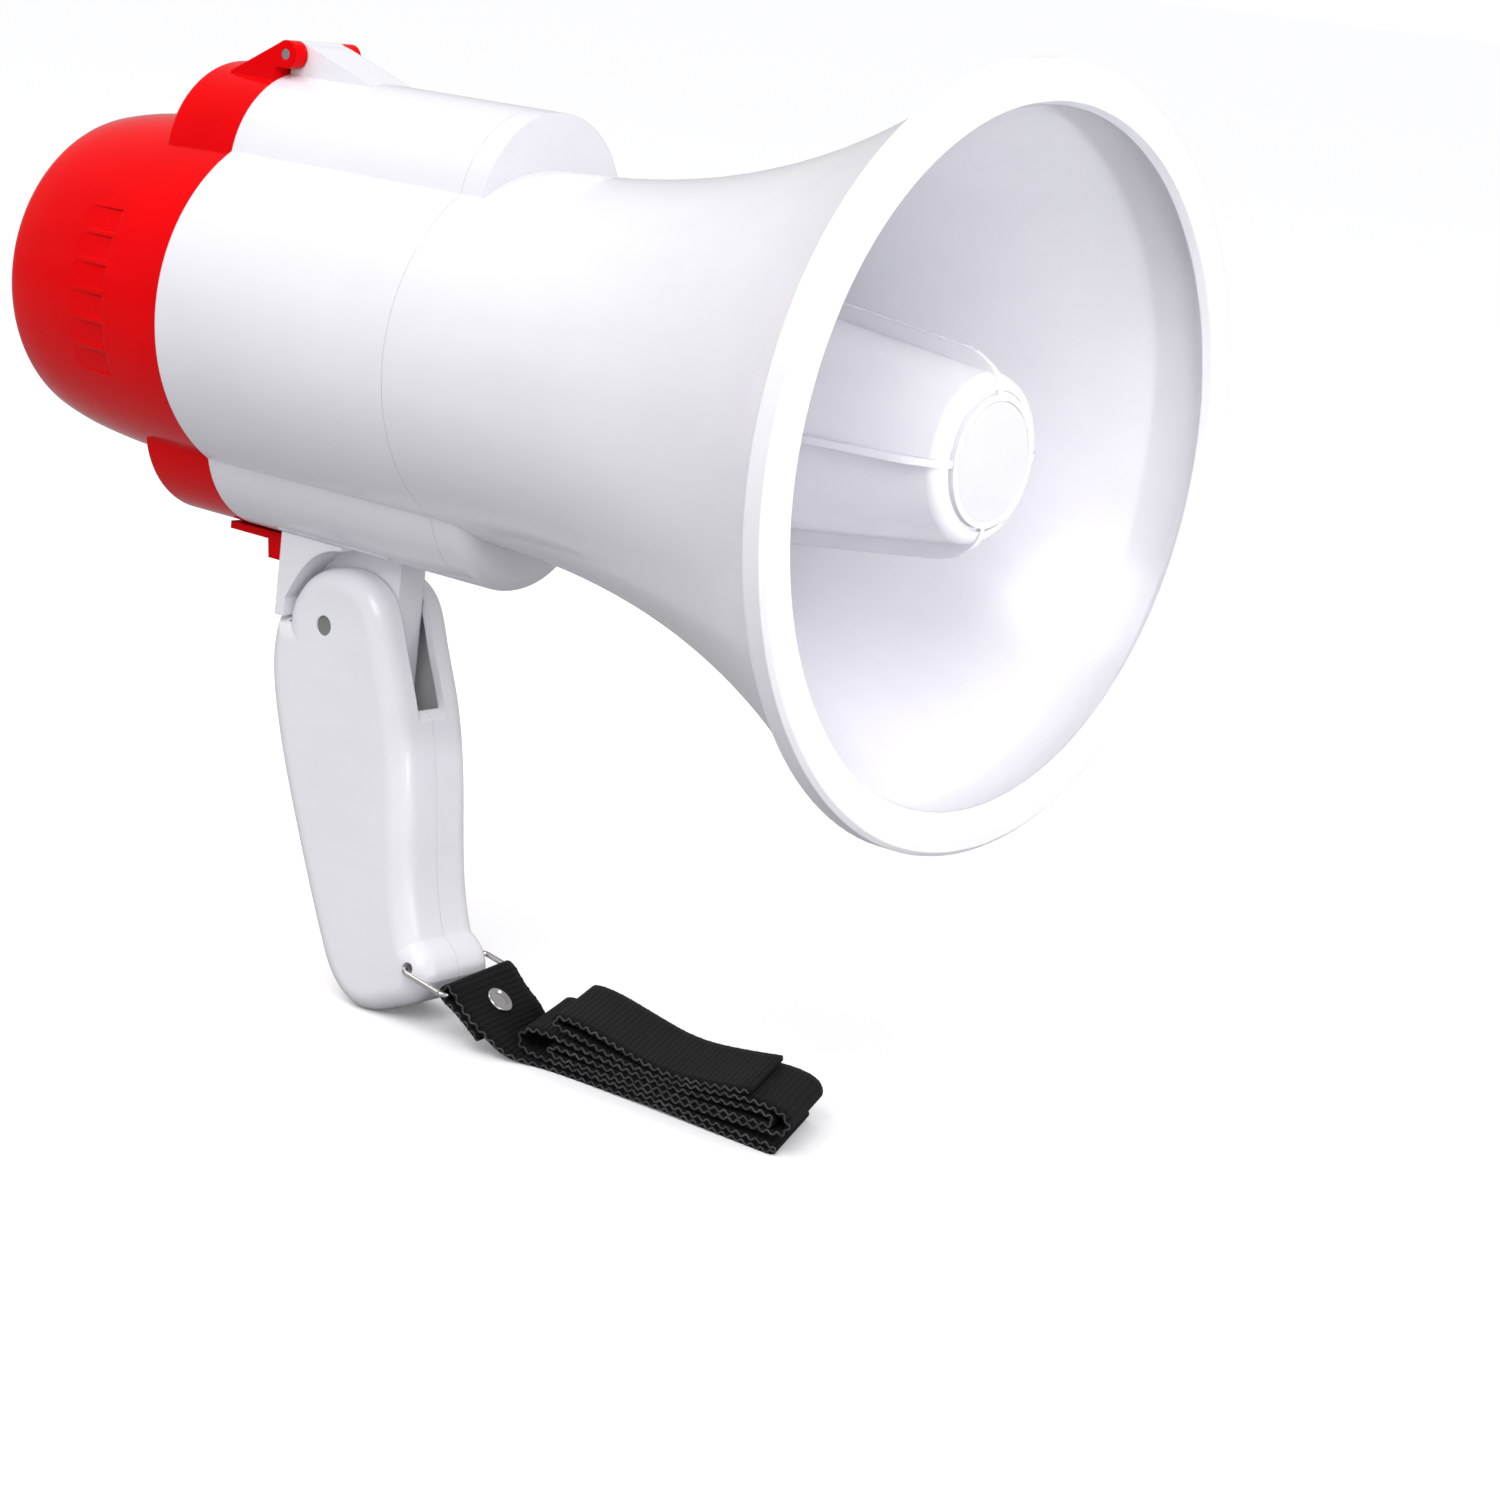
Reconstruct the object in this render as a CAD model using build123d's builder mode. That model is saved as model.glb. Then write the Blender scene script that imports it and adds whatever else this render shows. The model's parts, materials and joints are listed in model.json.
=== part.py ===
# Handheld megaphone: bell horn, body with two battery bays, hinged rear unit, folding handle.
# Frame: +X towards the bell, +Z up, origin on the floor under the middle of the overall box.
import os
from math import cos, radians, sin
from build123d import *

os.makedirs("parts", exist_ok=True)

# ---- driving dimensions (mm) ----
horn_length = 135.6
body_length = 71.4
cap_length = 57.0
mouth_radius = 80.0
body_radius = 41.6
shell_wall = 2.0
pivot_drop = 68.9
handle_reach = 87.1
handle_width = 24.0

press_gap = 0.02
running_gap = 0.05
free_gap = 0.3

lobe_radius = 22.6
lobe_rise_top = 31.4
lobe_drop_low = 29.7
lobe_nose_top = 6.6
lobe_nose_low = 9.5
cap_lobe_length = 22.0

horn_wall = 2.2
flare_power = 2.3
rim_depth = 5.8
rim_face = 9.0
rim_skin = 2.0
bulkhead = 4.0
spigot_length = 6.0

cup_mouth_radius = 17.6
cup_length = 84.0
cup_slope = 0.115
cup_wall = 1.6
cup_setback = 5.6
disc_radius = 12.2
disc_thickness = 0.8
fin_thickness = 1.6
fin_height = 3.0
fin_foot = 26.0
fin_root = 8.0
nose_ring_radius = 13.6
nose_groove_width = 0.7
nose_groove_depth = 1.2
nose_step = 0.8
cup_shoulder = 3.4
throat_radius = 5.0
throat_mouth_radius = 9.0
throat_wall = 1.5
throat_gap = 18.0

driver_radius = 27.0
flange_thickness = 3.0
frame_depth = 7.0
magnet_radius = 19.0
magnet_bore = 11.0
magnet_thickness = 12.0
plate_thickness = 3.0
pole_radius = 6.2
coil_gap = 0.3
coil_thickness = 0.6
diaphragm_radius = 14.5
screw_radius = 1.4
screw_head_radius = 2.4
screw_head_height = 1.6

battery_radius = 7.25
battery_length = 50.5
battery_offset = 7.6
battery_level = 38.5
battery_start = 3.6
contact_thickness = 0.5
spring_radius = 3.4
spring_wire = 0.8
tray_wing = 23.8
carrier_setback = 3.0
carrier_thickness = 1.5

cap_edge = 0.4
carrier_room = 5.0
panel_radius = 34.5
panel_thickness = 2.4
panel_recess = 1.8
plate_skin = 0.5
plate_top = 9.1
plate_margin = 0.3
button_radius = 3.8
button_gap = 0.2
button_flange = 1.1
button_travel = 0.8
button_proud = 1.2
row_centre = 1.4
row_level_high = -2.6
row_margin = 9.16
row_level_low = -17.5
low_row_margin = 9.0
grille_radius = 6.1
grille_slot = 1.0
grille_pitch = 2.9
grille_level = 21.6
light_radius = 1.5
light_inset = 5.1
light_level = -5.6
board_inset = 3.5
board_thickness = 1.6
switch_height = 3.3
switch_side = 6.0
stem_length = 2.0
mic_radius = 4.85
mic_length = 6.0
post_level_high = 12.0
post_inset_high = 10.5
post_inset_low = 7.5
post_radius = 2.8

rib_count = 6
rib_pitch = 9.5
rib_width = 1.2
rib_length = 14.0
rib_setback = 19.0
rib_depth = 0.9
ramp_length = 24.0

hinge_rise = 57.6
hinge_ahead = 2.5
hinge_pin_radius = 1.2
knuckle_radius = 3.2
knuckle_width = 12.8
ear_width = 3.8
latch_width = 10.5
latch_reach = 10.4
latch_root = 8.0
latch_arm = 1.8
latch_drop = 6.2

pivot_setback = 32.1
shoulder = 16.9
bracket_back = 16.4
bracket_wall = 2.9
bracket_screw_places = (-8.0, 11.0)
cheek_arch = ((-11.8, 6.8), (-9.2, 10.95), (-5.4, 14.9), (0.0, 17.4))
arch_end = (3.0, 17.85)
web_width = 8.0
web_front = 15.2
web_drop = 17.5
hub_radius = 8.0
slot_end_angle = 124.0
slot_reach = 60.0
pad_level = 50.0
pad_front = 15.5
pad_plate_half = 11.0
pivot_radius = 2.3
handle_wall = 2.2
handle_round = 5.0
handle_screw_places = ((2.0, -28.0), (12.0, -54.0), (24.0, -76.0))
boss_radius = 3.6
head_recess = 1.6
ring_hole = (36.1, -72.6)
ring_wire_radius = 0.65
ring_hole_radius = 1.4
ring_bend = 2.0
ring_tilt_angle = 9.5
ring_near_reach = 14.2
ring_near_gap = 2.0
ring_far_reach = 9.7
ring_far_gap = 1.6
strap_width = 25.0
strap_thickness = 1.2
neck_slope = 38.0
neck_length = 17.0
bundle_gap = 13.0
bundle_length = 80.0
bundle_height = 13.0
bundle_side = 8.8
rivet_radius = 3.3
rivet_shank = 1.2
rivet_height = 1.1
rivet_place = 6.5

# ---- derived places ----
overall_length = horn_length + body_length + cap_length
axis_height = pivot_drop + handle_reach
mouth_x = overall_length / 2
back_x = -overall_length / 2
seam_x = back_x + cap_length
horn_x = seam_x + body_length
lip_x = mouth_x - rim_depth
pivot_x = seam_x + pivot_setback
inner_radius = body_radius - shell_wall
half_width = handle_width / 2
ring_near = (ring_near_reach, -half_width - ring_near_gap)
ring_far = (ring_far_reach, half_width + ring_far_gap)
row_pitch = (panel_radius - row_margin) / 2
row_span_low = panel_radius - low_row_margin
light_offset = panel_radius - light_inset
board_radius = panel_radius - board_inset
post_side = panel_radius - post_inset_high
post_places = (
    (post_side, post_level_high),
    (-post_side, post_level_high),
    (0.0, post_inset_low - panel_radius),
)
horn_axis = Axis((0, 0, axis_height), (1, 0, 0))


def across(x):
    """Sketch plane square to the horn axis: local x is +Y, local y is +Z."""
    return Plane(origin=(x, 0, axis_height), x_dir=(0, 1, 0), z_dir=(1, 0, 0))


def radial(angle=0.0):
    """Sketch plane through the horn axis: local x is +X, local y points outwards."""
    turn = radians(angle)
    return Plane(origin=(0, 0, axis_height), x_dir=(1, 0, 0), z_dir=(0, -cos(turn), sin(turn)))


def beside(x, z, y=0.0):
    """Sketch plane seen from the side: local x is +X, local y is +Z."""
    return Plane(origin=(x, y, z), x_dir=(1, 0, 0), z_dir=(0, -1, 0))


def save(name, builder):
    builder.part.label = name
    export_step(builder.part, f"parts/{name}.step")
    print(f"{name:22s} {len(builder.part.solids())} solid(s) {builder.part.volume:12.1f} mm3")


def turned(points):
    """A solid turned about the horn axis from (x, radius) points."""
    with BuildPart() as piece:
        with BuildSketch(radial()):
            with BuildLine():
                Polyline(*points, close=True)
            make_face()
        revolve(axis=horn_axis)
    return piece


def tube(start, end, outer, inner):
    return turned([(start, inner), (end, inner), (end, outer), (start, outer)])


# ---- horn ----
bell_mouth_radius = mouth_radius - rim_skin
throat_seat = throat_radius + throat_wall + running_gap
spigot_radius = inner_radius - running_gap
lip_end_x = mouth_x - rim_skin - running_gap
flare_stations = [horn_x + (lip_x - horn_x) * step / 8 for step in range(9)]


def horn_outside(x):
    """Outer radius of the flaring bell at a place along the axis."""
    share = (x - horn_x) / (lip_x - horn_x)
    return body_radius + (bell_mouth_radius - body_radius) * share ** flare_power


def horn_inside(x):
    return horn_outside(x) - horn_wall


with BuildPart() as horn_bell:
    # Closed front ends of the two battery lobes
    for level, nose in ((lobe_rise_top, lobe_nose_top), (-lobe_drop_low, lobe_nose_low)):
        with BuildSketch(across(horn_x)):
            with Locations((0, level)):
                Circle(lobe_radius)
        extrude(amount=nose)
    fillet(horn_bell.faces().filter_by(Axis.X).group_by(Axis.X)[-1].edges(), radius=lobe_nose_low / 2)
    for level, nose in ((lobe_rise_top, lobe_nose_top), (-lobe_drop_low, lobe_nose_low)):
        with BuildSketch(across(horn_x)):
            with Locations((0, level)):
                Circle(lobe_radius - 2 * shell_wall)
        extrude(amount=nose - shell_wall, mode=Mode.SUBTRACT)
    with BuildSketch(radial()):
        with BuildLine():
            core = Spline(*[(x, horn_outside(x) - horn_wall / 2) for x in flare_stations])
            Polyline(core @ 1, (lip_x, 0), (horn_x, 0), core @ 0)
        make_face()
    revolve(axis=horn_axis, mode=Mode.SUBTRACT)
    # Flaring wall with its lip, rear bulkhead and the spigot that enters the body
    with BuildSketch(radial()):
        with BuildLine():
            outside = Spline(*[(x, horn_outside(x)) for x in flare_stations])
            inside = Spline(*[(x, horn_inside(x)) for x in reversed(flare_stations)])
            Polyline(
                outside @ 1,
                (lip_end_x, bell_mouth_radius),
                (lip_end_x, bell_mouth_radius - horn_wall),
                inside @ 0,
            )
            Polyline(
                inside @ 1,
                (horn_x, throat_seat),
                (horn_x - bulkhead, throat_seat),
                (horn_x - bulkhead, spigot_radius - horn_wall),
                (horn_x - spigot_length, spigot_radius - horn_wall),
                (horn_x - spigot_length, spigot_radius),
                (horn_x, spigot_radius),
                outside @ 0,
            )
        make_face()
    revolve(axis=horn_axis)
    with BuildSketch(across(horn_x - bulkhead)):
        with PolarLocations(driver_radius - screw_head_radius - 1, 4, start_angle=45):
            Circle(screw_radius + press_gap)
    extrude(amount=bulkhead - 1, mode=Mode.SUBTRACT)
save("horn_bell", horn_bell)

rim_inner = mouth_radius - rim_face
with BuildPart() as bell_rim:
    with BuildSketch(radial()):
        with BuildLine():
            Polyline(
                (mouth_x, mouth_radius - 1),
                (mouth_x, rim_inner + 1),
                (mouth_x - rim_skin, rim_inner),
                (mouth_x - rim_skin, bell_mouth_radius + running_gap),
                (lip_x, bell_mouth_radius + running_gap),
                (lip_x, mouth_radius - 1),
                (lip_x + 1, mouth_radius),
                (mouth_x - 1, mouth_radius),
                close=True,
            )
        make_face()
    revolve(axis=horn_axis)
save("bell_rim", bell_rim)

# ---- reflector cup in the bell, on four fins ----
cup_front_x = mouth_x - cup_setback
cup_back_x = cup_front_x - cup_length
fin_foot_x = cup_back_x + fin_foot
groove_radius = nose_ring_radius + nose_groove_width
shoulder_x = cup_front_x - nose_step
shoulder_end_x = shoulder_x - cup_shoulder
curl_x = shoulder_end_x - cup_shoulder
fin_level_x = cup_front_x - 3 * cup_shoulder


def cup_outside(x):
    return cup_mouth_radius + cup_slope * (cup_front_x - x)


with BuildPart() as reflector_cup:
    with BuildSketch(radial()):
        with BuildLine():
            Polyline(
                (cup_front_x - disc_thickness - cup_wall, 0),
                (cup_front_x - disc_thickness, 0),
                (cup_front_x - disc_thickness, disc_radius + running_gap),
                (cup_front_x, disc_radius + running_gap),
                (cup_front_x, nose_ring_radius),
                (cup_front_x - nose_groove_depth, nose_ring_radius),
                (cup_front_x - nose_groove_depth, groove_radius),
                (shoulder_x, groove_radius),
            )
            RadiusArc(
                (shoulder_x, groove_radius),
                (shoulder_end_x, cup_mouth_radius),
                -cup_shoulder,
            )
            Polyline(
                (shoulder_end_x, cup_mouth_radius),
                (cup_back_x, cup_outside(cup_back_x)),
                (cup_back_x, cup_outside(cup_back_x) - cup_wall),
                (shoulder_end_x, cup_mouth_radius - cup_wall),
                (shoulder_x - nose_groove_depth - cup_wall, groove_radius - cup_wall / 2),
                (cup_front_x - disc_thickness - cup_wall, disc_radius),
                (cup_front_x - disc_thickness - cup_wall, 0),
            )
        make_face()
    revolve(axis=horn_axis)
    for angle in (0, 90, 180, 270):
        with BuildSketch(radial(angle)):
            with BuildLine():
                fin_top = Spline(
                    (cup_front_x - nose_step / 2, nose_ring_radius - running_gap),
                    (cup_front_x - nose_step, groove_radius + cup_wall),
                    (shoulder_x - cup_wall, cup_mouth_radius + fin_height / 6),
                    (curl_x, cup_outside(curl_x) + fin_height * 0.9),
                )
                Polyline(
                    fin_top @ 1,
                    (fin_level_x, cup_outside(fin_level_x) + fin_height),
                    (fin_foot_x, cup_outside(fin_foot_x) + fin_height),
                    (cup_back_x + fin_root, horn_inside(cup_back_x + fin_root) - free_gap),
                    (cup_back_x, horn_inside(cup_back_x) - free_gap),
                    (cup_back_x, cup_outside(cup_back_x) - cup_wall / 2),
                    (shoulder_end_x, cup_mouth_radius - cup_wall / 2),
                    (cup_front_x - nose_groove_depth - cup_wall / 2, nose_ring_radius - running_gap),
                    fin_top @ 0,
                )
            make_face()
        extrude(amount=fin_thickness / 2, both=True)
save("reflector_cup", reflector_cup)

nose_disc = tube(cup_front_x - disc_thickness + press_gap, cup_front_x - 0.1, disc_radius, 0)
save("nose_disc", nose_disc)

# ---- throat tube and driver ----
flange_x = horn_x - bulkhead - press_gap
driver_x = flange_x - flange_thickness
throat_end_x = cup_front_x - throat_gap
screw_circle = driver_radius - screw_head_radius - 1

with BuildPart() as throat_tube:
    with BuildSketch(radial()):
        with BuildLine():
            Polyline(
                (driver_x, throat_radius),
                (horn_x, throat_radius),
                (throat_end_x, throat_mouth_radius),
                (throat_end_x, throat_mouth_radius + throat_wall),
                (horn_x, throat_radius + throat_wall),
                (flange_x, throat_radius + throat_wall),
                (flange_x, driver_radius),
                (driver_x, driver_radius),
                close=True,
            )
        make_face()
    revolve(axis=horn_axis)
    with BuildSketch(across(driver_x)):
        with PolarLocations(screw_circle, 4, start_angle=45):
            Circle(screw_radius + running_gap)
    extrude(amount=flange_thickness, mode=Mode.SUBTRACT)
save("throat_tube", throat_tube)

frame_x = driver_x - press_gap
with BuildPart() as driver_frame:
    with BuildSketch(across(frame_x - frame_depth)):
        Circle(driver_radius)
        Circle(diaphragm_radius - 1, mode=Mode.SUBTRACT)
        with PolarLocations(screw_circle, 4, start_angle=45):
            Circle(screw_radius + running_gap, mode=Mode.SUBTRACT)
    extrude(amount=frame_depth)
    with BuildSketch(across(frame_x)):
        Circle(diaphragm_radius + press_gap)
    extrude(amount=-2, mode=Mode.SUBTRACT)
save("driver_frame", driver_frame)

diaphragm_x = frame_x - 2 + press_gap
with BuildPart() as diaphragm:
    with BuildSketch(radial()):
        with BuildLine():
            Polyline(
                (diaphragm_x, 0),
                (diaphragm_x + 1, 0),
                (diaphragm_x + 0.5, pole_radius + coil_gap + coil_thickness),
                (diaphragm_x + 0.5, diaphragm_radius),
                (diaphragm_x, diaphragm_radius),
                close=True,
            )
        make_face()
    revolve(axis=horn_axis)
save("diaphragm", diaphragm)

plate_x = frame_x - frame_depth - press_gap
magnet_x = plate_x - plate_thickness - press_gap
yoke_x = magnet_x - magnet_thickness - press_gap
coil_inner = pole_radius + coil_gap
coil_end_x = plate_x - plate_thickness + 0.5
voice_coil = tube(coil_end_x, diaphragm_x - press_gap, coil_inner + coil_thickness, coil_inner)
save("voice_coil", voice_coil)

plate_bore = coil_inner + coil_thickness + coil_gap
driver_plate = tube(plate_x - plate_thickness, plate_x, magnet_radius, plate_bore)
save("driver_plate", driver_plate)

driver_magnet = tube(magnet_x - magnet_thickness, magnet_x, magnet_radius + 1, magnet_bore)
save("driver_magnet", driver_magnet)

driver_yoke = turned([
    (yoke_x - plate_thickness, 0),
    (yoke_x - plate_thickness, magnet_radius),
    (yoke_x, magnet_radius),
    (yoke_x, pole_radius),
    (plate_x, pole_radius),
    (plate_x, 0),
])
save("driver_yoke", driver_yoke)

with BuildPart() as driver_screws:
    with BuildSketch(across(frame_x - frame_depth)):
        with PolarLocations(screw_circle, 4, start_angle=45):
            Circle(screw_radius)
    extrude(amount=frame_depth + flange_thickness + bulkhead - 1.2)
    with BuildSketch(across(frame_x - frame_depth)):
        with PolarLocations(screw_circle, 4, start_angle=45):
            Circle(screw_head_radius)
    extrude(amount=-screw_head_height)
save("driver_screws", driver_screws)

# ---- body shell ----
pad_half = half_width + 0.5


def lobed(radius_main, radius_lobe):
    """Round section with a lobe above and a lobe below."""
    Circle(radius_main)
    with Locations((0, lobe_rise_top), (0, -lobe_drop_low)):
        Circle(radius_lobe)


with BuildPart() as body_shell:
    with BuildSketch(across(seam_x)):
        lobed(body_radius, lobe_radius)
    extrude(amount=body_length)
    with BuildSketch(across(seam_x)):
        lobed(inner_radius, lobe_radius - shell_wall)
    extrude(amount=body_length, mode=Mode.SUBTRACT)
    # Flat underside for the handle bracket
    pad_mid = pivot_x + (pad_front - bracket_back) / 2
    pad_long = pad_front + bracket_back
    with BuildSketch(Plane.XY.offset(axis_height - pad_level)):
        with Locations((pad_mid, 0)):
            Rectangle(pad_long + 2 * shell_wall, 2 * pad_plate_half)
    extrude(amount=shell_wall)
    with BuildSketch(Plane.XY.offset(axis_height - pad_level)):
        with Locations((pad_mid, 0)):
            Rectangle(pad_long, 2 * pad_half)
    extrude(amount=-2 * shell_wall, mode=Mode.SUBTRACT)
    with BuildSketch(Plane.XY.offset(axis_height - pad_level)):
        with Locations(*[(pivot_x + place, 0) for place in bracket_screw_places]):
            Circle(screw_radius + running_gap)
    extrude(amount=shell_wall, mode=Mode.SUBTRACT)
    # Hinge knuckle on its ramp
    with BuildSketch(beside(seam_x, axis_height)):
        with BuildLine():
            Polyline(
                (hinge_ahead, hinge_rise + knuckle_radius),
                (hinge_ahead + 4, hinge_rise + knuckle_radius - 1),
                (hinge_ahead + ramp_length, lobe_rise_top + lobe_radius - 0.5),
                (hinge_ahead + ramp_length, lobe_rise_top + lobe_radius - 1.5),
                (free_gap, lobe_rise_top + lobe_radius - 1.5),
                (free_gap, hinge_rise),
                close=True,
            )
        make_face()
        with Locations((hinge_ahead, hinge_rise)):
            Circle(knuckle_radius)
    extrude(amount=knuckle_width / 2, both=True)
    with BuildSketch(beside(seam_x, axis_height)):
        with Locations((hinge_ahead, hinge_rise)):
            Circle(hinge_pin_radius + running_gap)
    extrude(amount=knuckle_width, both=True, mode=Mode.SUBTRACT)
save("body_shell", body_shell)

# ---- batteries, trays and contacts ----
battery_x = seam_x + battery_start
tray_x = seam_x + 1
contact_x = battery_x + battery_length + press_gap
tray_floor = battery_level - battery_radius - 1.2


def battery_tray(side):
    """Cradle between the batteries and the middle of the body."""
    with BuildPart() as tray:
        with BuildSketch(across(tray_x)):
            with Locations((0, side * (tray_floor + 0.5))):
                Rectangle(2 * tray_wing, 1)
            with Locations((0, side * (tray_floor + 3.2))):
                Rectangle(4 * battery_offset, 6.4)
            with Locations((battery_offset, side * battery_level), (-battery_offset, side * battery_level)):
                Circle(battery_radius + 0.2, mode=Mode.SUBTRACT)
        extrude(amount=contact_x - tray_x)
        with BuildSketch(across(contact_x + contact_thickness + press_gap)):
            with Locations((0, side * (tray_floor + 6.9))):
                Rectangle(3.6 * battery_offset, 13.8)
            with Locations((0, side * (tray_floor + 0.5))):
                Rectangle(2 * tray_wing, 1)
        extrude(amount=1.5)
        with BuildSketch(across(contact_x)):
            with Locations((0, side * (tray_floor + 0.4))):
                Rectangle(3.6 * battery_offset, 0.8)
        extrude(amount=contact_thickness + press_gap)
    return tray


save("battery_tray_top", battery_tray(1))
save("battery_tray_low", battery_tray(-1))

battery_places = {
    "battery_top_left": (battery_offset, battery_level),
    "battery_top_right": (-battery_offset, battery_level),
    "battery_low_left": (battery_offset, -battery_level),
    "battery_low_right": (-battery_offset, -battery_level),
}
for name, place in battery_places.items():
    with BuildPart() as battery:
        with BuildSketch(across(battery_x)):
            with Locations(place):
                Circle(battery_radius)
        extrude(amount=battery_length - 1.5)
        with BuildSketch(across(battery_x + battery_length - 1.5)):
            with Locations(place):
                Circle(battery_radius * 0.38)
        extrude(amount=1.5)
    save(name, battery)

with BuildPart() as front_contacts:
    with BuildSketch(across(contact_x)):
        with Locations((0, battery_level), (0, -battery_level)):
            Rectangle(3.4 * battery_offset, battery_radius * 1.2)
    extrude(amount=contact_thickness)
save("front_contacts", front_contacts)

# ---- handle bracket ----
pivot_z = axis_height - pivot_drop
pad_above_pivot = pivot_drop - pad_level - press_gap
bracket_back_x = -bracket_back + bracket_wall

with BuildPart() as handle_bracket:
    # Web that reaches down between the cheeks, with the hub round the pivot
    with BuildSketch(beside(pivot_x, pivot_z)):
        with BuildLine():
            Polyline(
                (-bracket_back + 1, pad_above_pivot),
                (web_front, pad_above_pivot),
                (web_front, -web_drop),
                (web_front - bracket_wall, -web_drop),
                (0, 0),
                (bracket_back_x, 0),
                (-bracket_back + 1, free_gap),
                close=True,
            )
        make_face()
        Circle(hub_radius + 4)
    extrude(amount=web_width / 2, both=True)
    with BuildSketch(beside(pivot_x, pivot_z)):
        Circle(hub_radius)
    extrude(amount=half_width - handle_wall - 0.4, both=True)
    # Full-width rear wall, arched over the cheeks
    with BuildSketch(beside(pivot_x, pivot_z)):
        with BuildLine():
            arch = Spline(*cheek_arch, arch_end)
            Polyline(
                arch @ 1,
                (arch_end[0], pad_above_pivot),
                (-bracket_back, pad_above_pivot),
                (-bracket_back, free_gap - 0.9),
                (bracket_back_x, free_gap - 0.9),
                (bracket_back_x, cheek_arch[0][1] - bracket_wall),
                arch @ 0,
            )
        make_face()
    extrude(amount=half_width - 0.3, both=True)
    with BuildSketch(beside(pivot_x, pivot_z)):
        Circle(pivot_radius + running_gap)
    extrude(amount=half_width, both=True, mode=Mode.SUBTRACT)
    with BuildSketch(Plane.XY.offset(pivot_z + pad_above_pivot)):
        with Locations(*[(pivot_x + place, 0) for place in bracket_screw_places]):
            Circle(screw_radius + press_gap)
    extrude(amount=-6, mode=Mode.SUBTRACT)
save("handle_bracket", handle_bracket)

with BuildPart() as bracket_screws:
    with BuildSketch(Plane.XY.offset(axis_height - pad_level + shell_wall + press_gap)):
        with Locations(*[(pivot_x + place, 0) for place in bracket_screw_places]):
            Circle(screw_head_radius)
    extrude(amount=screw_head_height * 0.8)
    with BuildSketch(Plane.XY.offset(axis_height - pad_level + shell_wall + press_gap)):
        with Locations(*[(pivot_x + place, 0) for place in bracket_screw_places]):
            Circle(screw_radius)
    extrude(amount=-shell_wall - 5.5)
save("bracket_screws", bracket_screws)

# ---- handle: two halves that meet on the middle plane ----
slot_half = web_width / 2 + 0.4
slot_low = (slot_reach * sin(radians(slot_end_angle)), slot_reach * cos(radians(slot_end_angle)))


def handle_outline():
    """Side outline of the raked handle about its pivot, from the shoulder round and back."""
    foot = -handle_reach
    rear = Spline(
        (-shoulder, -0.9),
        (-shoulder - 1.2, 0.09 * foot),
        (-15.6, 0.265 * foot),
        (-6.0, 0.555 * foot),
        (6.0, 0.855 * foot),
        (10.6, 0.94 * foot),
        (19.9, foot),
        (30.5, 0.967 * foot),
        (38.0, 0.92 * foot),
        (41.6, 0.86 * foot),
    )
    toe = Spline(rear @ 1, (40.4, 0.815 * foot), (35.6, 0.765 * foot))
    front = Spline(
        toe @ 1,
        (33.0, 0.675 * foot),
        (29.3, 0.41 * foot),
        (24.0, 0.146 * foot),
        (19.4, -1.0),
        (14.3, 9.4),
        (7.4, 13.1),
        (0.0, 13.2),
        (-7.0, 10.6),
        (-12.0, 4.6),
        (-bracket_back + bracket_wall + 0.2, -0.9),
    )
    Line(front @ 1, rear @ 0)
    return rear, front


def inset_points(curve, start, end, count):
    """Points one wall inside a stretch of the outline, which runs with its inside on the left."""
    points = []
    for step in range(count + 1):
        place = start + (end - start) * step / count
        along = curve % place
        points.append(curve @ place + Vector(-along.Y, along.X) * handle_wall)
    return points


def cavity_outline():
    """Outline of the hollow inside the handle."""
    with BuildLine(mode=Mode.PRIVATE):
        rear, front = handle_outline()
    inner_rear = Spline(*inset_points(rear, 0.03, 0.9, 12))
    inner_front = Spline(*inset_points(front, 0.03, 0.97, 12))
    Line(inner_rear @ 1, inner_front @ 0)
    Line(inner_front @ 1, inner_rear @ 0)


seat = half_width - head_recess - screw_head_height
with BuildPart() as handle_block:
    with BuildSketch(beside(pivot_x, pivot_z)):
        with BuildLine():
            handle_outline()
        make_face()
    extrude(amount=half_width, both=True)
    fillet(handle_block.faces().filter_by(Axis.Y).edges(), radius=handle_round)
    with BuildSketch(beside(pivot_x, pivot_z)):
        with BuildLine():
            cavity_outline()
        make_face()
    extrude(amount=half_width - handle_wall, both=True, mode=Mode.SUBTRACT)
    with BuildSketch(beside(pivot_x, pivot_z)):
        with Locations(*handle_screw_places):
            Circle(boss_radius)
    extrude(amount=half_width - handle_wall, both=True)
    # Slot that lets the bracket's web through as the handle folds
    with BuildSketch(beside(pivot_x, pivot_z)):
        with BuildLine():
            Polyline(
                (0, -0.9),
                (-slot_reach, -0.9),
                (-slot_reach, slot_reach),
                (slot_reach, slot_reach),
                slot_low,
                close=True,
            )
        make_face()
    extrude(amount=slot_half, both=True, mode=Mode.SUBTRACT)
    with BuildSketch(beside(pivot_x, pivot_z)):
        Circle(pivot_radius + press_gap)
        with Locations(ring_hole):
            Circle(ring_hole_radius)
    extrude(amount=half_width, both=True, mode=Mode.SUBTRACT)
    # Screw holes: clearance and head seat on the left, pilot on the right
    with BuildSketch(beside(pivot_x, pivot_z, half_width)):
        with Locations(*handle_screw_places):
            Circle(screw_radius + press_gap)
    extrude(amount=half_width + seat, mode=Mode.SUBTRACT)
    with BuildSketch(beside(pivot_x, pivot_z, half_width)):
        with Locations(*handle_screw_places):
            Circle(screw_head_radius + running_gap)
    extrude(amount=half_width - seat, mode=Mode.SUBTRACT)

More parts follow.
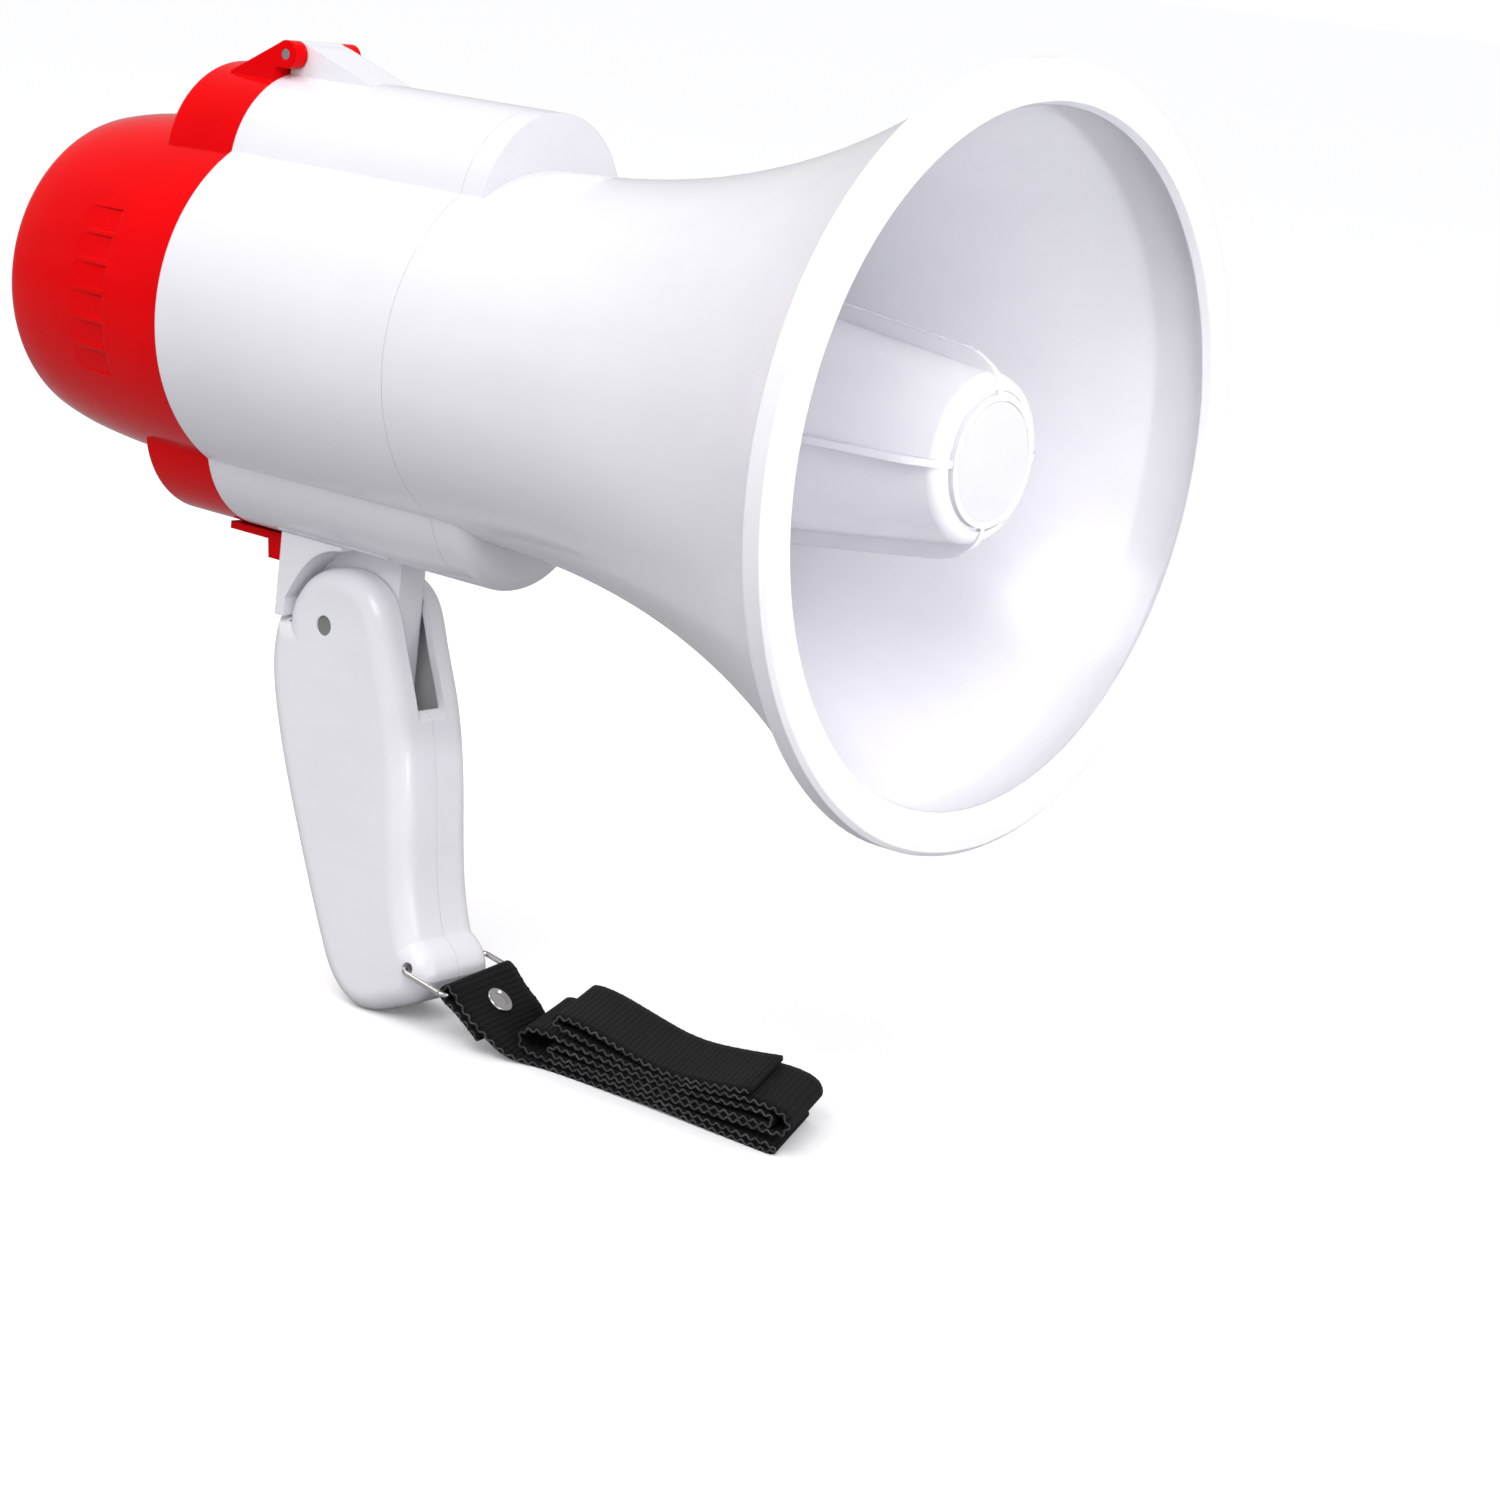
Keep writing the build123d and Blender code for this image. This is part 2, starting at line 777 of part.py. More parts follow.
for name, direction in (("handle_right", 1), ("handle_left", -1)):
    with BuildPart() as half:
        add(handle_block.part)
        with BuildSketch(beside(pivot_x, pivot_z)):
            Rectangle(4 * handle_reach, 4 * handle_reach)
        extrude(amount=direction * handle_width, mode=Mode.INTERSECT)
    save(name, half)

with BuildPart() as handle_screws:
    with BuildSketch(beside(pivot_x, pivot_z, seat + press_gap)):
        with Locations(*handle_screw_places):
            Circle(screw_head_radius)
    extrude(amount=-screw_head_height)
    with BuildSketch(beside(pivot_x, pivot_z, seat + press_gap)):
        with Locations(*handle_screw_places):
            Circle(screw_radius)
    extrude(amount=2 * seat - 1)
save("handle_screws", handle_screws)

with BuildPart() as handle_pivot:
    with BuildSketch(beside(pivot_x, pivot_z)):
        Circle(pivot_radius)
    extrude(amount=half_width - 0.4, both=True)
save("handle_pivot", handle_pivot)

with BuildPart() as pivot_washers:
    for side in (-1, 1):
        with BuildSketch(beside(pivot_x, pivot_z, side * (half_width - handle_wall - 0.2))):
            Circle(hub_radius - 2)
            Circle(pivot_radius + running_gap, mode=Mode.SUBTRACT)
        extrude(amount=0.15, both=True)
save("pivot_washers", pivot_washers)

# ---- wire ring, wrist strap and rivet ----
ring_tilt = radians(ring_tilt_angle)
hole_place = Vector(pivot_x + ring_hole[0], 0, pivot_z + ring_hole[1])
ring_forward = Vector(cos(ring_tilt), 0, -sin(ring_tilt))
ring_plane = Plane(origin=hole_place, x_dir=ring_forward, z_dir=(sin(ring_tilt), 0, cos(ring_tilt)))

with BuildPart() as wire_ring:
    with BuildLine(ring_plane):
        ring_path = FilletPolyline(
            (0, ring_near[1]), ring_near, ring_far, (0, ring_far[1]),
            radius=ring_bend,
            close=True,
        )
    with BuildSketch(Plane(origin=ring_path @ 0, z_dir=ring_path % 0)):
        Circle(ring_wire_radius)
    sweep(path=ring_path)
save("wire_ring", wire_ring)

near_corner = hole_place + ring_forward * ring_near[0] + Vector(0, ring_near[1], 0)
far_corner = hole_place + ring_forward * ring_far[0] + Vector(0, ring_far[1], 0)
wire_middle = (near_corner + far_corner) * 0.5
wire_along = (far_corner - near_corner).normalized()
strap_forward = wire_along.cross(Vector(0, 0, 1)).normalized()
strap_side = Plane(origin=wire_middle, x_dir=strap_forward, z_dir=wire_along * -1)
neck_thickness = 2 * strap_thickness + 0.3
loop_radius = ring_wire_radius + free_gap
neck_down = strap_side.x_dir * cos(radians(neck_slope)) - strap_side.y_dir * sin(radians(neck_slope))
neck_normal = strap_side.x_dir * sin(radians(neck_slope)) + strap_side.y_dir * cos(radians(neck_slope))
rivet_plane = Plane(origin=wire_middle + neck_down * rivet_place, x_dir=neck_down, z_dir=neck_normal)

with BuildPart() as strap:
    with BuildSketch(strap_side):
        Circle(loop_radius + strap_thickness)
        Rectangle(neck_length, neck_thickness, rotation=-neck_slope, align=(Align.MIN, Align.CENTER))
    extrude(amount=strap_width / 2, both=True)
    with BuildSketch(Plane.XY):
        with Locations((wire_middle.X + bundle_gap + bundle_length / 2, bundle_side)):
            Rectangle(bundle_length, strap_width)
    extrude(amount=bundle_height)
    fillet(strap.faces().filter_by(Axis.Z).sort_by(Axis.Z)[-1].edges().filter_by(Axis.Y), radius=2)
    with BuildSketch(strap_side):
        Circle(loop_radius)
    extrude(amount=strap_width, both=True, mode=Mode.SUBTRACT)
    with BuildSketch(rivet_plane):
        Circle(rivet_shank + press_gap)
    extrude(amount=neck_thickness, both=True, mode=Mode.SUBTRACT)
save("strap", strap)

with BuildPart() as strap_rivet:
    with BuildSketch(rivet_plane):
        Circle(rivet_shank)
    extrude(amount=neck_thickness / 2 + press_gap, both=True)
    for side in (-1, 1):
        with BuildSketch(rivet_plane.offset(side * (neck_thickness / 2 + press_gap))):
            Circle(rivet_radius)
        extrude(amount=side * rivet_height)
save("strap_rivet", strap_rivet)

# ---- rear unit ----
edge_radius = panel_radius + cap_edge
cap_radius = body_radius - 0.6
ledge_x = back_x + panel_recess + panel_thickness + press_gap
dome_power = 2.1
lobe_top = lobe_rise_top + lobe_radius
ear_outside = knuckle_width / 2 + free_gap + ear_width


def cap_point(step, inset=0.0):
    """Place on the rounded side of the cap, from the seam (0) to the rear edge (1)."""
    angle = radians(90 * step)
    x = seam_x - (cap_length - inset) * sin(angle) ** (2 / dome_power)
    r = edge_radius - inset + (cap_radius - edge_radius) * abs(cos(angle)) ** (2 / dome_power)
    return (x, r)


with BuildPart() as rear_cap:
    for level in (lobe_rise_top, -lobe_drop_low):
        with BuildSketch(across(seam_x)):
            with Locations((0, level)):
                Circle(lobe_radius)
        extrude(amount=-cap_lobe_length)
    fillet(rear_cap.faces().filter_by(Axis.X).sort_by(Axis.X)[0:2].edges(), radius=1.5)
    # Hinge ears on the upper lobe
    with BuildSketch(beside(seam_x, axis_height)):
        with BuildLine():
            Polyline(
                (hinge_ahead - 1, hinge_rise + knuckle_radius - 0.2),
                (-15, lobe_top - 2),
                (-15, lobe_top - 6),
                (-free_gap, lobe_top - 6),
                (-free_gap, hinge_rise - knuckle_radius),
                (hinge_ahead, hinge_rise - knuckle_radius),
                close=True,
            )
        make_face()
        with Locations((hinge_ahead, hinge_rise)):
            Circle(knuckle_radius)
    extrude(amount=ear_outside, both=True)
    with BuildSketch(beside(seam_x, axis_height)):
        with Locations((hinge_ahead - knuckle_radius - free_gap, lobe_top)):
            Rectangle(20, 20, align=(Align.MIN, Align.MIN))
    extrude(amount=knuckle_width / 2 + free_gap, both=True, mode=Mode.SUBTRACT)
    for level in (lobe_rise_top, -lobe_drop_low):
        with BuildSketch(across(seam_x)):
            with Locations((0, level)):
                Circle(lobe_radius - shell_wall)
        extrude(amount=shell_wall - cap_lobe_length, mode=Mode.SUBTRACT)
    # Domed side wall with a ledge for the panel
    with BuildSketch(radial()):
        with BuildLine():
            core = Spline(*[cap_point(step / 8, shell_wall / 2) for step in range(9)])
            Polyline(core @ 1, (back_x + shell_wall / 2, 0), (seam_x, 0), core @ 0)
        make_face()
    revolve(axis=horn_axis, mode=Mode.SUBTRACT)
    with BuildSketch(radial()):
        with BuildLine():
            side = Spline(*[cap_point(step / 8) for step in range(9)])
            inner = Spline(*[cap_point(step / 8, shell_wall) for step in range(6, -1, -1)])
            Polyline(
                side @ 1,
                (back_x, panel_radius),
                (ledge_x, panel_radius),
                (ledge_x, panel_radius - shell_wall),
                (ledge_x + shell_wall, panel_radius - shell_wall),
                inner @ 0,
            )
            Line(inner @ 1, side @ 0)
        make_face()
    revolve(axis=horn_axis)
    for level in (lobe_rise_top, -lobe_drop_low):
        with BuildSketch(across(seam_x)):
            with Locations((0, level)):
                Circle(lobe_radius - shell_wall)
        extrude(amount=-carrier_room, mode=Mode.SUBTRACT)
    # Grip ribs left standing between shallow pockets on both sides
    pocket_half = radians(rib_pitch / 2) * cap_radius - rib_width / 2
    for flank in (90, 270):
        for index in range(rib_count):
            turn = flank + (index - (rib_count - 1) / 2) * rib_pitch
            with BuildSketch(radial(turn)):
                with Locations((seam_x - rib_setback - rib_length / 2, cap_radius - rib_depth)):
                    Rectangle(rib_length, 3, align=(Align.CENTER, Align.MIN))
            extrude(amount=pocket_half, both=True, mode=Mode.SUBTRACT)
    with BuildSketch(beside(seam_x, axis_height)):
        with Locations((hinge_ahead, hinge_rise)):
            Circle(hinge_pin_radius + press_gap)
    extrude(amount=knuckle_width, both=True, mode=Mode.SUBTRACT)
save("rear_cap", rear_cap)

with BuildPart() as hinge_pin:
    with BuildSketch(beside(seam_x + hinge_ahead, axis_height + hinge_rise)):
        Circle(hinge_pin_radius)
    extrude(amount=ear_outside, both=True)
save("hinge_pin", hinge_pin)

latch_level = lobe_drop_low + lobe_radius + 0.15
with BuildPart() as latch_tab:
    with BuildSketch(beside(seam_x, axis_height)):
        with BuildLine():
            Polyline(
                (-latch_root, -latch_level),
                (latch_reach, -latch_level),
                (latch_reach, -latch_level - latch_drop),
                (latch_reach - 5.0, -latch_level - latch_drop),
                (latch_reach - 5.6, -latch_level - latch_arm),
                (-latch_root, -latch_level - latch_arm),
                close=True,
            )
        make_face()
    extrude(amount=latch_width / 2, both=True)
save("latch_tab", latch_tab)

# ---- control panel ----
panel_back_x = back_x + panel_recess
panel_front_x = panel_back_x + panel_thickness
board_x = panel_front_x + button_flange + stem_length + button_travel + switch_height + 0.4
button_places = {
    "power_button": (row_centre + 1.5 * row_pitch, row_level_high),
    "music_button": (row_centre + 0.5 * row_pitch, row_level_high),
    "record_button": (row_centre - 0.5 * row_pitch, row_level_high),
    "play_button": (row_centre - 1.5 * row_pitch, row_level_high),
    "volume_down_button": (row_centre + row_span_low / 2, row_level_low),
    "volume_up_button": (row_centre - row_span_low / 2, row_level_low),
}


def cut_openings():
    """Openings for the buttons and the status light."""
    with Locations(*button_places.values()):
        Circle(button_radius + button_gap, mode=Mode.SUBTRACT)
    with Locations((light_offset, light_level)):
        Circle(light_radius + button_gap, mode=Mode.SUBTRACT)


with BuildPart() as control_panel:
    with BuildSketch(across(panel_back_x)):
        Circle(panel_radius - press_gap)
        cut_openings()
    extrude(amount=panel_thickness)
    with BuildSketch(across(panel_front_x)):
        with Locations(*post_places):
            Circle(post_radius)
    extrude(amount=board_x - panel_front_x)
    with BuildSketch(across(board_x)):
        with Locations(*post_places):
            Circle(screw_radius + press_gap)
    extrude(amount=panel_front_x - board_x, mode=Mode.SUBTRACT)
    # Round microphone grille with level slots
    with BuildSketch(across(panel_back_x)):
        with Locations(*[(0, grille_level + index * grille_pitch) for index in range(-2, 3)]):
            Rectangle(2 * grille_radius, grille_slot)
        with Locations((0, grille_level)):
            Circle(grille_radius, mode=Mode.INTERSECT)
    extrude(amount=panel_thickness, mode=Mode.SUBTRACT)
save("control_panel", control_panel)

with BuildPart() as face_plate:
    with BuildSketch(across(panel_back_x - press_gap)):
        Circle(panel_radius - plate_margin)
        with Locations((0, plate_top)):
            Rectangle(3 * panel_radius, 2 * panel_radius, align=(Align.CENTER, Align.MIN), mode=Mode.SUBTRACT)
        fillet(vertices(), radius=2)
        cut_openings()
    extrude(amount=-plate_skin)
save("face_plate", face_plate)

for name, place in button_places.items():
    with BuildPart() as button:
        with BuildSketch(across(panel_back_x - plate_skin - button_proud)):
            with Locations(place):
                Circle(button_radius)
        extrude(amount=button_proud + plate_skin + panel_thickness + free_gap)
        fillet(button.faces().sort_by(Axis.X)[0].edges(), radius=1.6)
        with BuildSketch(across(panel_front_x + 0.1)):
            with Locations(place):
                Circle(button_radius + 1)
        extrude(amount=button_flange)
        with BuildSketch(across(panel_front_x + button_flange)):
            with Locations(place):
                Circle(1.6)
        extrude(amount=stem_length)
    save(name, button)

with BuildPart() as tact_switches:
    with BuildSketch(across(board_x - press_gap)):
        with Locations(*button_places.values()):
            Rectangle(switch_side, switch_side)
    extrude(amount=-switch_height + 0.8)
    with BuildSketch(across(board_x - press_gap)):
        with Locations(*button_places.values()):
            Circle(1.7)
    extrude(amount=-switch_height)
save("tact_switches", tact_switches)

with BuildPart() as circuit_board:
    with BuildSketch(across(board_x + press_gap)):
        Circle(board_radius)
        with Locations(*post_places):
            Circle(screw_radius + running_gap, mode=Mode.SUBTRACT)
    extrude(amount=board_thickness)
save("circuit_board", circuit_board)

with BuildPart() as board_screws:
    with BuildSketch(across(board_x + board_thickness + 2 * press_gap)):
        with Locations(*post_places):
            Circle(screw_head_radius)
    extrude(amount=screw_head_height)
    with BuildSketch(across(board_x + board_thickness + 2 * press_gap)):
        with Locations(*post_places):
            Circle(screw_radius)
    extrude(amount=-board_thickness - 5)
save("board_screws", board_screws)

with BuildPart() as microphone:
    with BuildSketch(across(panel_front_x + press_gap)):
        with Locations((0, grille_level)):
            Circle(mic_radius)
    extrude(amount=mic_length)
save("microphone", microphone)

with BuildPart() as status_light:
    with BuildSketch(across(panel_back_x - plate_skin + 0.2)):
        with Locations((light_offset, light_level)):
            Circle(light_radius)
    extrude(amount=board_x - panel_back_x + plate_skin - 0.2 - press_gap)
save("status_light", status_light)

# ---- contacts carried by the rear unit ----
carrier_x = seam_x - carrier_setback
with BuildPart() as contact_carrier:
    with BuildSketch(across(carrier_x)):
        with Locations((0, battery_level - 3)):
            Rectangle(3.6 * battery_offset, 17)
        with Locations((0, -battery_level + 3)):
            Rectangle(3.6 * battery_offset, 17)
        Rectangle(8, 2 * battery_level)
    extrude(amount=carrier_thickness)
save("contact_carrier", contact_carrier)

spring_x = carrier_x + carrier_thickness + press_gap
with BuildPart() as rear_contacts:
    with BuildSketch(across(spring_x)):
        with Locations(*battery_places.values()):
            Circle(spring_radius + 1)
    extrude(amount=contact_thickness)
    with BuildSketch(across(spring_x + contact_thickness)):
        with Locations(*battery_places.values()):
            Circle(spring_radius)
            Circle(spring_radius - spring_wire, mode=Mode.SUBTRACT)
    extrude(amount=battery_x - spring_x - contact_thickness - press_gap)
save("rear_contacts", rear_contacts)
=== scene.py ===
import math
import random

import bmesh
import bpy
from mathutils import Matrix, Vector
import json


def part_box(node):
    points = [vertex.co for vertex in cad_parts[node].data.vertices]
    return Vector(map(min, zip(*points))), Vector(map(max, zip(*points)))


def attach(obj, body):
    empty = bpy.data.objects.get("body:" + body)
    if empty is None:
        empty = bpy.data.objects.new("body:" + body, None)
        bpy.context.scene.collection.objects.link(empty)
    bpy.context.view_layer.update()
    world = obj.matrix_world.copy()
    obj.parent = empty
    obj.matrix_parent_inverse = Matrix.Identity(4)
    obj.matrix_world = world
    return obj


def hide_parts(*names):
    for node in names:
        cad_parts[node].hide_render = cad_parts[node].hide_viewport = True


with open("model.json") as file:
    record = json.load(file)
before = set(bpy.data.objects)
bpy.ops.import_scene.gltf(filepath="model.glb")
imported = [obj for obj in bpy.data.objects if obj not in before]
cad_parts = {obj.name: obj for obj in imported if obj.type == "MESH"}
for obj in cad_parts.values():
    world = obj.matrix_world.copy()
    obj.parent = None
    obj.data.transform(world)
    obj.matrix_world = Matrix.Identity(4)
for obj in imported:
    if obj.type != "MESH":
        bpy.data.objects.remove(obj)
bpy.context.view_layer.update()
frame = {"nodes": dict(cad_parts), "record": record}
random.seed(4)
mm = 0.001
print("frame loaded:", len(frame["nodes"]), "nodes")

# camera
cameraPlace = {
    "position": (0.5113, -0.5752, 0.2524),
    "right": (0.7744, 0.6220, 0.1155),
    "up": (-0.2306, 0.1076, 0.9671),
    "back": (0.5891, -0.7756, 0.2268),
    "lens": 83.63,
    "sensor": 36.0,
}


def placeCamera(place):
    data = bpy.data.cameras.new("studioCamera")
    data.lens = place["lens"]
    data.sensor_width = place["sensor"]
    data.clip_start = 0.02
    data.clip_end = 200
    camera = bpy.data.objects.new("studioCamera", data)
    bpy.context.scene.collection.objects.link(camera)
    turn = Matrix([place["right"], place["up"], place["back"]]).transposed()
    camera.matrix_world = Matrix.Translation(place["position"]) @ turn.to_4x4()
    bpy.context.scene.camera = camera


placeCamera(cameraPlace)


# node helpers
def addNode(tree, kind, **settings):
    node = tree.nodes.new(kind)
    for key, value in settings.items():
        setattr(node, key, value)
    return node


# Sets or links a node's inputs by name or number
def feed(tree, node, sockets):
    for key, value in sockets.items():
        socket = node.inputs[key]
        if isinstance(value, bpy.types.NodeSocket):
            tree.links.new(value, socket)
        else:
            socket.default_value = value
    return node


def maths(tree, operation, first, second=0.0, third=0.0, clamp=False):
    node = addNode(tree, "ShaderNodeMath", operation=operation, use_clamp=clamp)
    feed(tree, node, {0: first, 1: second, 2: third})
    return node.outputs[0]


def noise(tree, vector, scale, detail=2.0, roughness=0.5, distortion=0.0):
    node = addNode(tree, "ShaderNodeTexNoise")
    feed(tree, node, {"Vector": vector, "Scale": scale, "Detail": detail})
    feed(tree, node, {"Roughness": roughness, "Distortion": distortion})
    return node.outputs["Fac"]


def spread(tree, value, low, high, newLow=0.0, newHigh=1.0):
    node = addNode(tree, "ShaderNodeMapRange", clamp=True)
    feed(tree, node, {"Value": value, "From Min": low, "From Max": high, "To Min": newLow, "To Max": newHigh})
    return node.outputs["Result"]


def stretched(tree, vector, scale):
    node = addNode(tree, "ShaderNodeMapping")
    feed(tree, node, {"Vector": vector, "Scale": scale})
    return node.outputs["Vector"]


def blendColour(tree, factor, first, second):
    node = addNode(tree, "ShaderNodeMix", data_type="RGBA")
    feed(tree, node, {0: factor, 6: first, 7: second})
    return node.outputs[2]


def newGroup(name, inputs, outputs):
    group = bpy.data.node_groups.new(name, "ShaderNodeTree")
    for label, kind, value in inputs:
        socket = group.interface.new_socket(label, in_out="INPUT", socket_type=kind)
        if value is not None:
            socket.default_value = value
    for label in outputs:
        group.interface.new_socket(label, in_out="OUTPUT", socket_type="NodeSocketFloat")
    return group, addNode(group, "NodeGroupInput").outputs, addNode(group, "NodeGroupOutput").inputs


# shared effects
# Moulded plastic: slow clouding, flow streaks and a fine orange peel
def buildMouldGrain():
    group, given, out = newGroup(
        "mouldGrain",
        [
            ("Vector", "NodeSocketVector", None),
            ("Peel Scale", "NodeSocketFloat", 900.0),
            ("Cloud Scale", "NodeSocketFloat", 26.0),
        ],
        ["Cloud", "Fleck", "Height"],
    )
    cloud = noise(group, given["Vector"], given["Cloud Scale"], 3.0, 0.55)
    streak = noise(group, stretched(group, given["Vector"], (0.25, 1.6, 1.6)), 90.0, 2.0)
    both = maths(group, "ADD", maths(group, "MULTIPLY", cloud, 0.7), maths(group, "MULTIPLY", streak, 0.3))
    group.links.new(spread(group, both, 0.3, 0.7), out["Cloud"])
    group.links.new(spread(group, noise(group, given["Vector"], 1500.0, 1.0), 0.74, 0.8), out["Fleck"])
    peel = noise(group, given["Vector"], given["Peel Scale"], 2.0, 0.6)
    sink = noise(group, given["Vector"], 60.0, 1.0)
    group.links.new(maths(group, "ADD", peel, maths(group, "MULTIPLY", sink, 1.5)), out["Height"])
    return group


# Fine scratches in two directions and soft smudges from hands
def buildHandlingWear():
    group, given, out = newGroup(
        "handlingWear",
        [("Vector", "NodeSocketVector", None), ("Scratch Scale", "NodeSocketFloat", 60.0)],
        ["Scratch", "Smudge"],
    )
    marks = []
    for turn in (0.5, -0.9):
        mapping = addNode(group, "ShaderNodeMapping")
        slant = (turn, 0.4 * turn, turn)
        feed(group, mapping, {"Vector": given["Vector"], "Rotation": slant, "Scale": (1.0, 14.0, 5.0)})
        line = noise(group, mapping.outputs["Vector"], given["Scratch Scale"], 4.0, 0.7, 0.4)
        marks.append(spread(group, line, 0.66, 0.72))
    patch = spread(group, noise(group, given["Vector"], 45.0, 2.0), 0.5, 0.68)
    both = maths(group, "MAXIMUM", marks[0], marks[1])
    group.links.new(maths(group, "MULTIPLY", both, patch), out["Scratch"])
    touch = noise(group, given["Vector"], 38.0, 4.0, 0.65, 0.8)
    group.links.new(spread(group, touch, 0.42, 0.72), out["Smudge"])
    return group


# Long thin lines of brushed or turned metal, along the first axis of the vector
def buildBrushLines():
    group, given, out = newGroup(
        "brushLines",
        [
            ("Vector", "NodeSocketVector", None),
            ("Line Scale", "NodeSocketFloat", 1800.0),
            ("Length", "NodeSocketFloat", 0.02),
        ],
        ["Line", "Mottle"],
    )
    parts = addNode(group, "ShaderNodeSeparateXYZ")
    feed(group, parts, {0: given["Vector"]})
    joined = addNode(group, "ShaderNodeCombineXYZ")
    drawn = maths(group, "MULTIPLY", parts.outputs[0], given["Length"])
    feed(group, joined, {0: drawn, 1: parts.outputs[1], 2: parts.outputs[2]})
    group.links.new(noise(group, joined.outputs[0], given["Line Scale"], 3.0, 0.7), out["Line"])
    group.links.new(noise(group, given["Vector"], 160.0, 3.0, 0.6), out["Mottle"])
    return group


# Narrow webbing: ribs across its width, each split into small cells, from a vector in metres
def buildRibWeave():
    group, given, out = newGroup(
        "ribWeave",
        [
            ("Vector", "NodeSocketVector", None),
            ("Rib Pitch", "NodeSocketFloat", 1.4 * mm),
            ("Cell Pitch", "NodeSocketFloat", 0.8 * mm),
        ],
        ["Height", "Thread", "Fuzz"],
    )
    parts = addNode(group, "ShaderNodeSeparateXYZ")
    feed(group, parts, {0: given["Vector"]})
    alongTurns = maths(group, "DIVIDE", parts.outputs[1], given["Rib Pitch"])
    acrossTurns = maths(group, "DIVIDE", parts.outputs[0], given["Cell Pitch"])
    rib = maths(group, "ABSOLUTE", maths(group, "SINE", maths(group, "MULTIPLY", alongTurns, math.pi)))
    odd = maths(group, "MODULO", maths(group, "FLOOR", alongTurns), 2.0)
    shifted = maths(group, "ADD", acrossTurns, maths(group, "MULTIPLY", odd, 0.5))
    cell = maths(group, "ABSOLUTE", maths(group, "SINE", maths(group, "MULTIPLY", shifted, math.pi)))
    swell = maths(group, "POWER", rib, 0.6)
    dent = maths(group, "ADD", maths(group, "MULTIPLY", cell, 0.35), 0.65)
    height = maths(group, "MULTIPLY", swell, dent)
    group.links.new(height, out["Height"])
    group.links.new(maths(group, "MULTIPLY", cell, rib), out["Thread"])
    group.links.new(noise(group, given["Vector"], 5200.0, 2.0, 0.7), out["Fuzz"])
    return group


groups = {
    "mouldGrain": buildMouldGrain(),
    "handlingWear": buildHandlingWear(),
    "brushLines": buildBrushLines(),
    "ribWeave": buildRibWeave(),
}
print("shared effects:", ", ".join(groups))


def useGroup(tree, name, **sockets):
    node = addNode(tree, "ShaderNodeGroup", node_tree=groups[name])
    return feed(tree, node, {key.replace("_", " "): value for key, value in sockets.items()}).outputs


def openMaterial(name):
    material = bpy.data.materials.new(name)
    material.use_nodes = True
    tree = material.node_tree
    tree.nodes.clear()
    shader = addNode(tree, "ShaderNodeBsdfPrincipled")
    end = addNode(tree, "ShaderNodeOutputMaterial")
    tree.links.new(shader.outputs[0], end.inputs[0])
    place = addNode(tree, "ShaderNodeTexCoord").outputs["Object"]
    return material, tree, shader, place


# Bump from a height, over edges that are softened by a small radius
def bumpFrom(tree, height, strength, distance, edge=0.0):
    bump = addNode(tree, "ShaderNodeBump")
    feed(tree, bump, {"Strength": strength, "Distance": distance, "Height": height})
    if edge:
        soft = addNode(tree, "ShaderNodeBevel", samples=6)
        feed(tree, soft, {"Radius": edge})
        tree.links.new(soft.outputs[0], bump.inputs["Normal"])
    return bump.outputs[0]


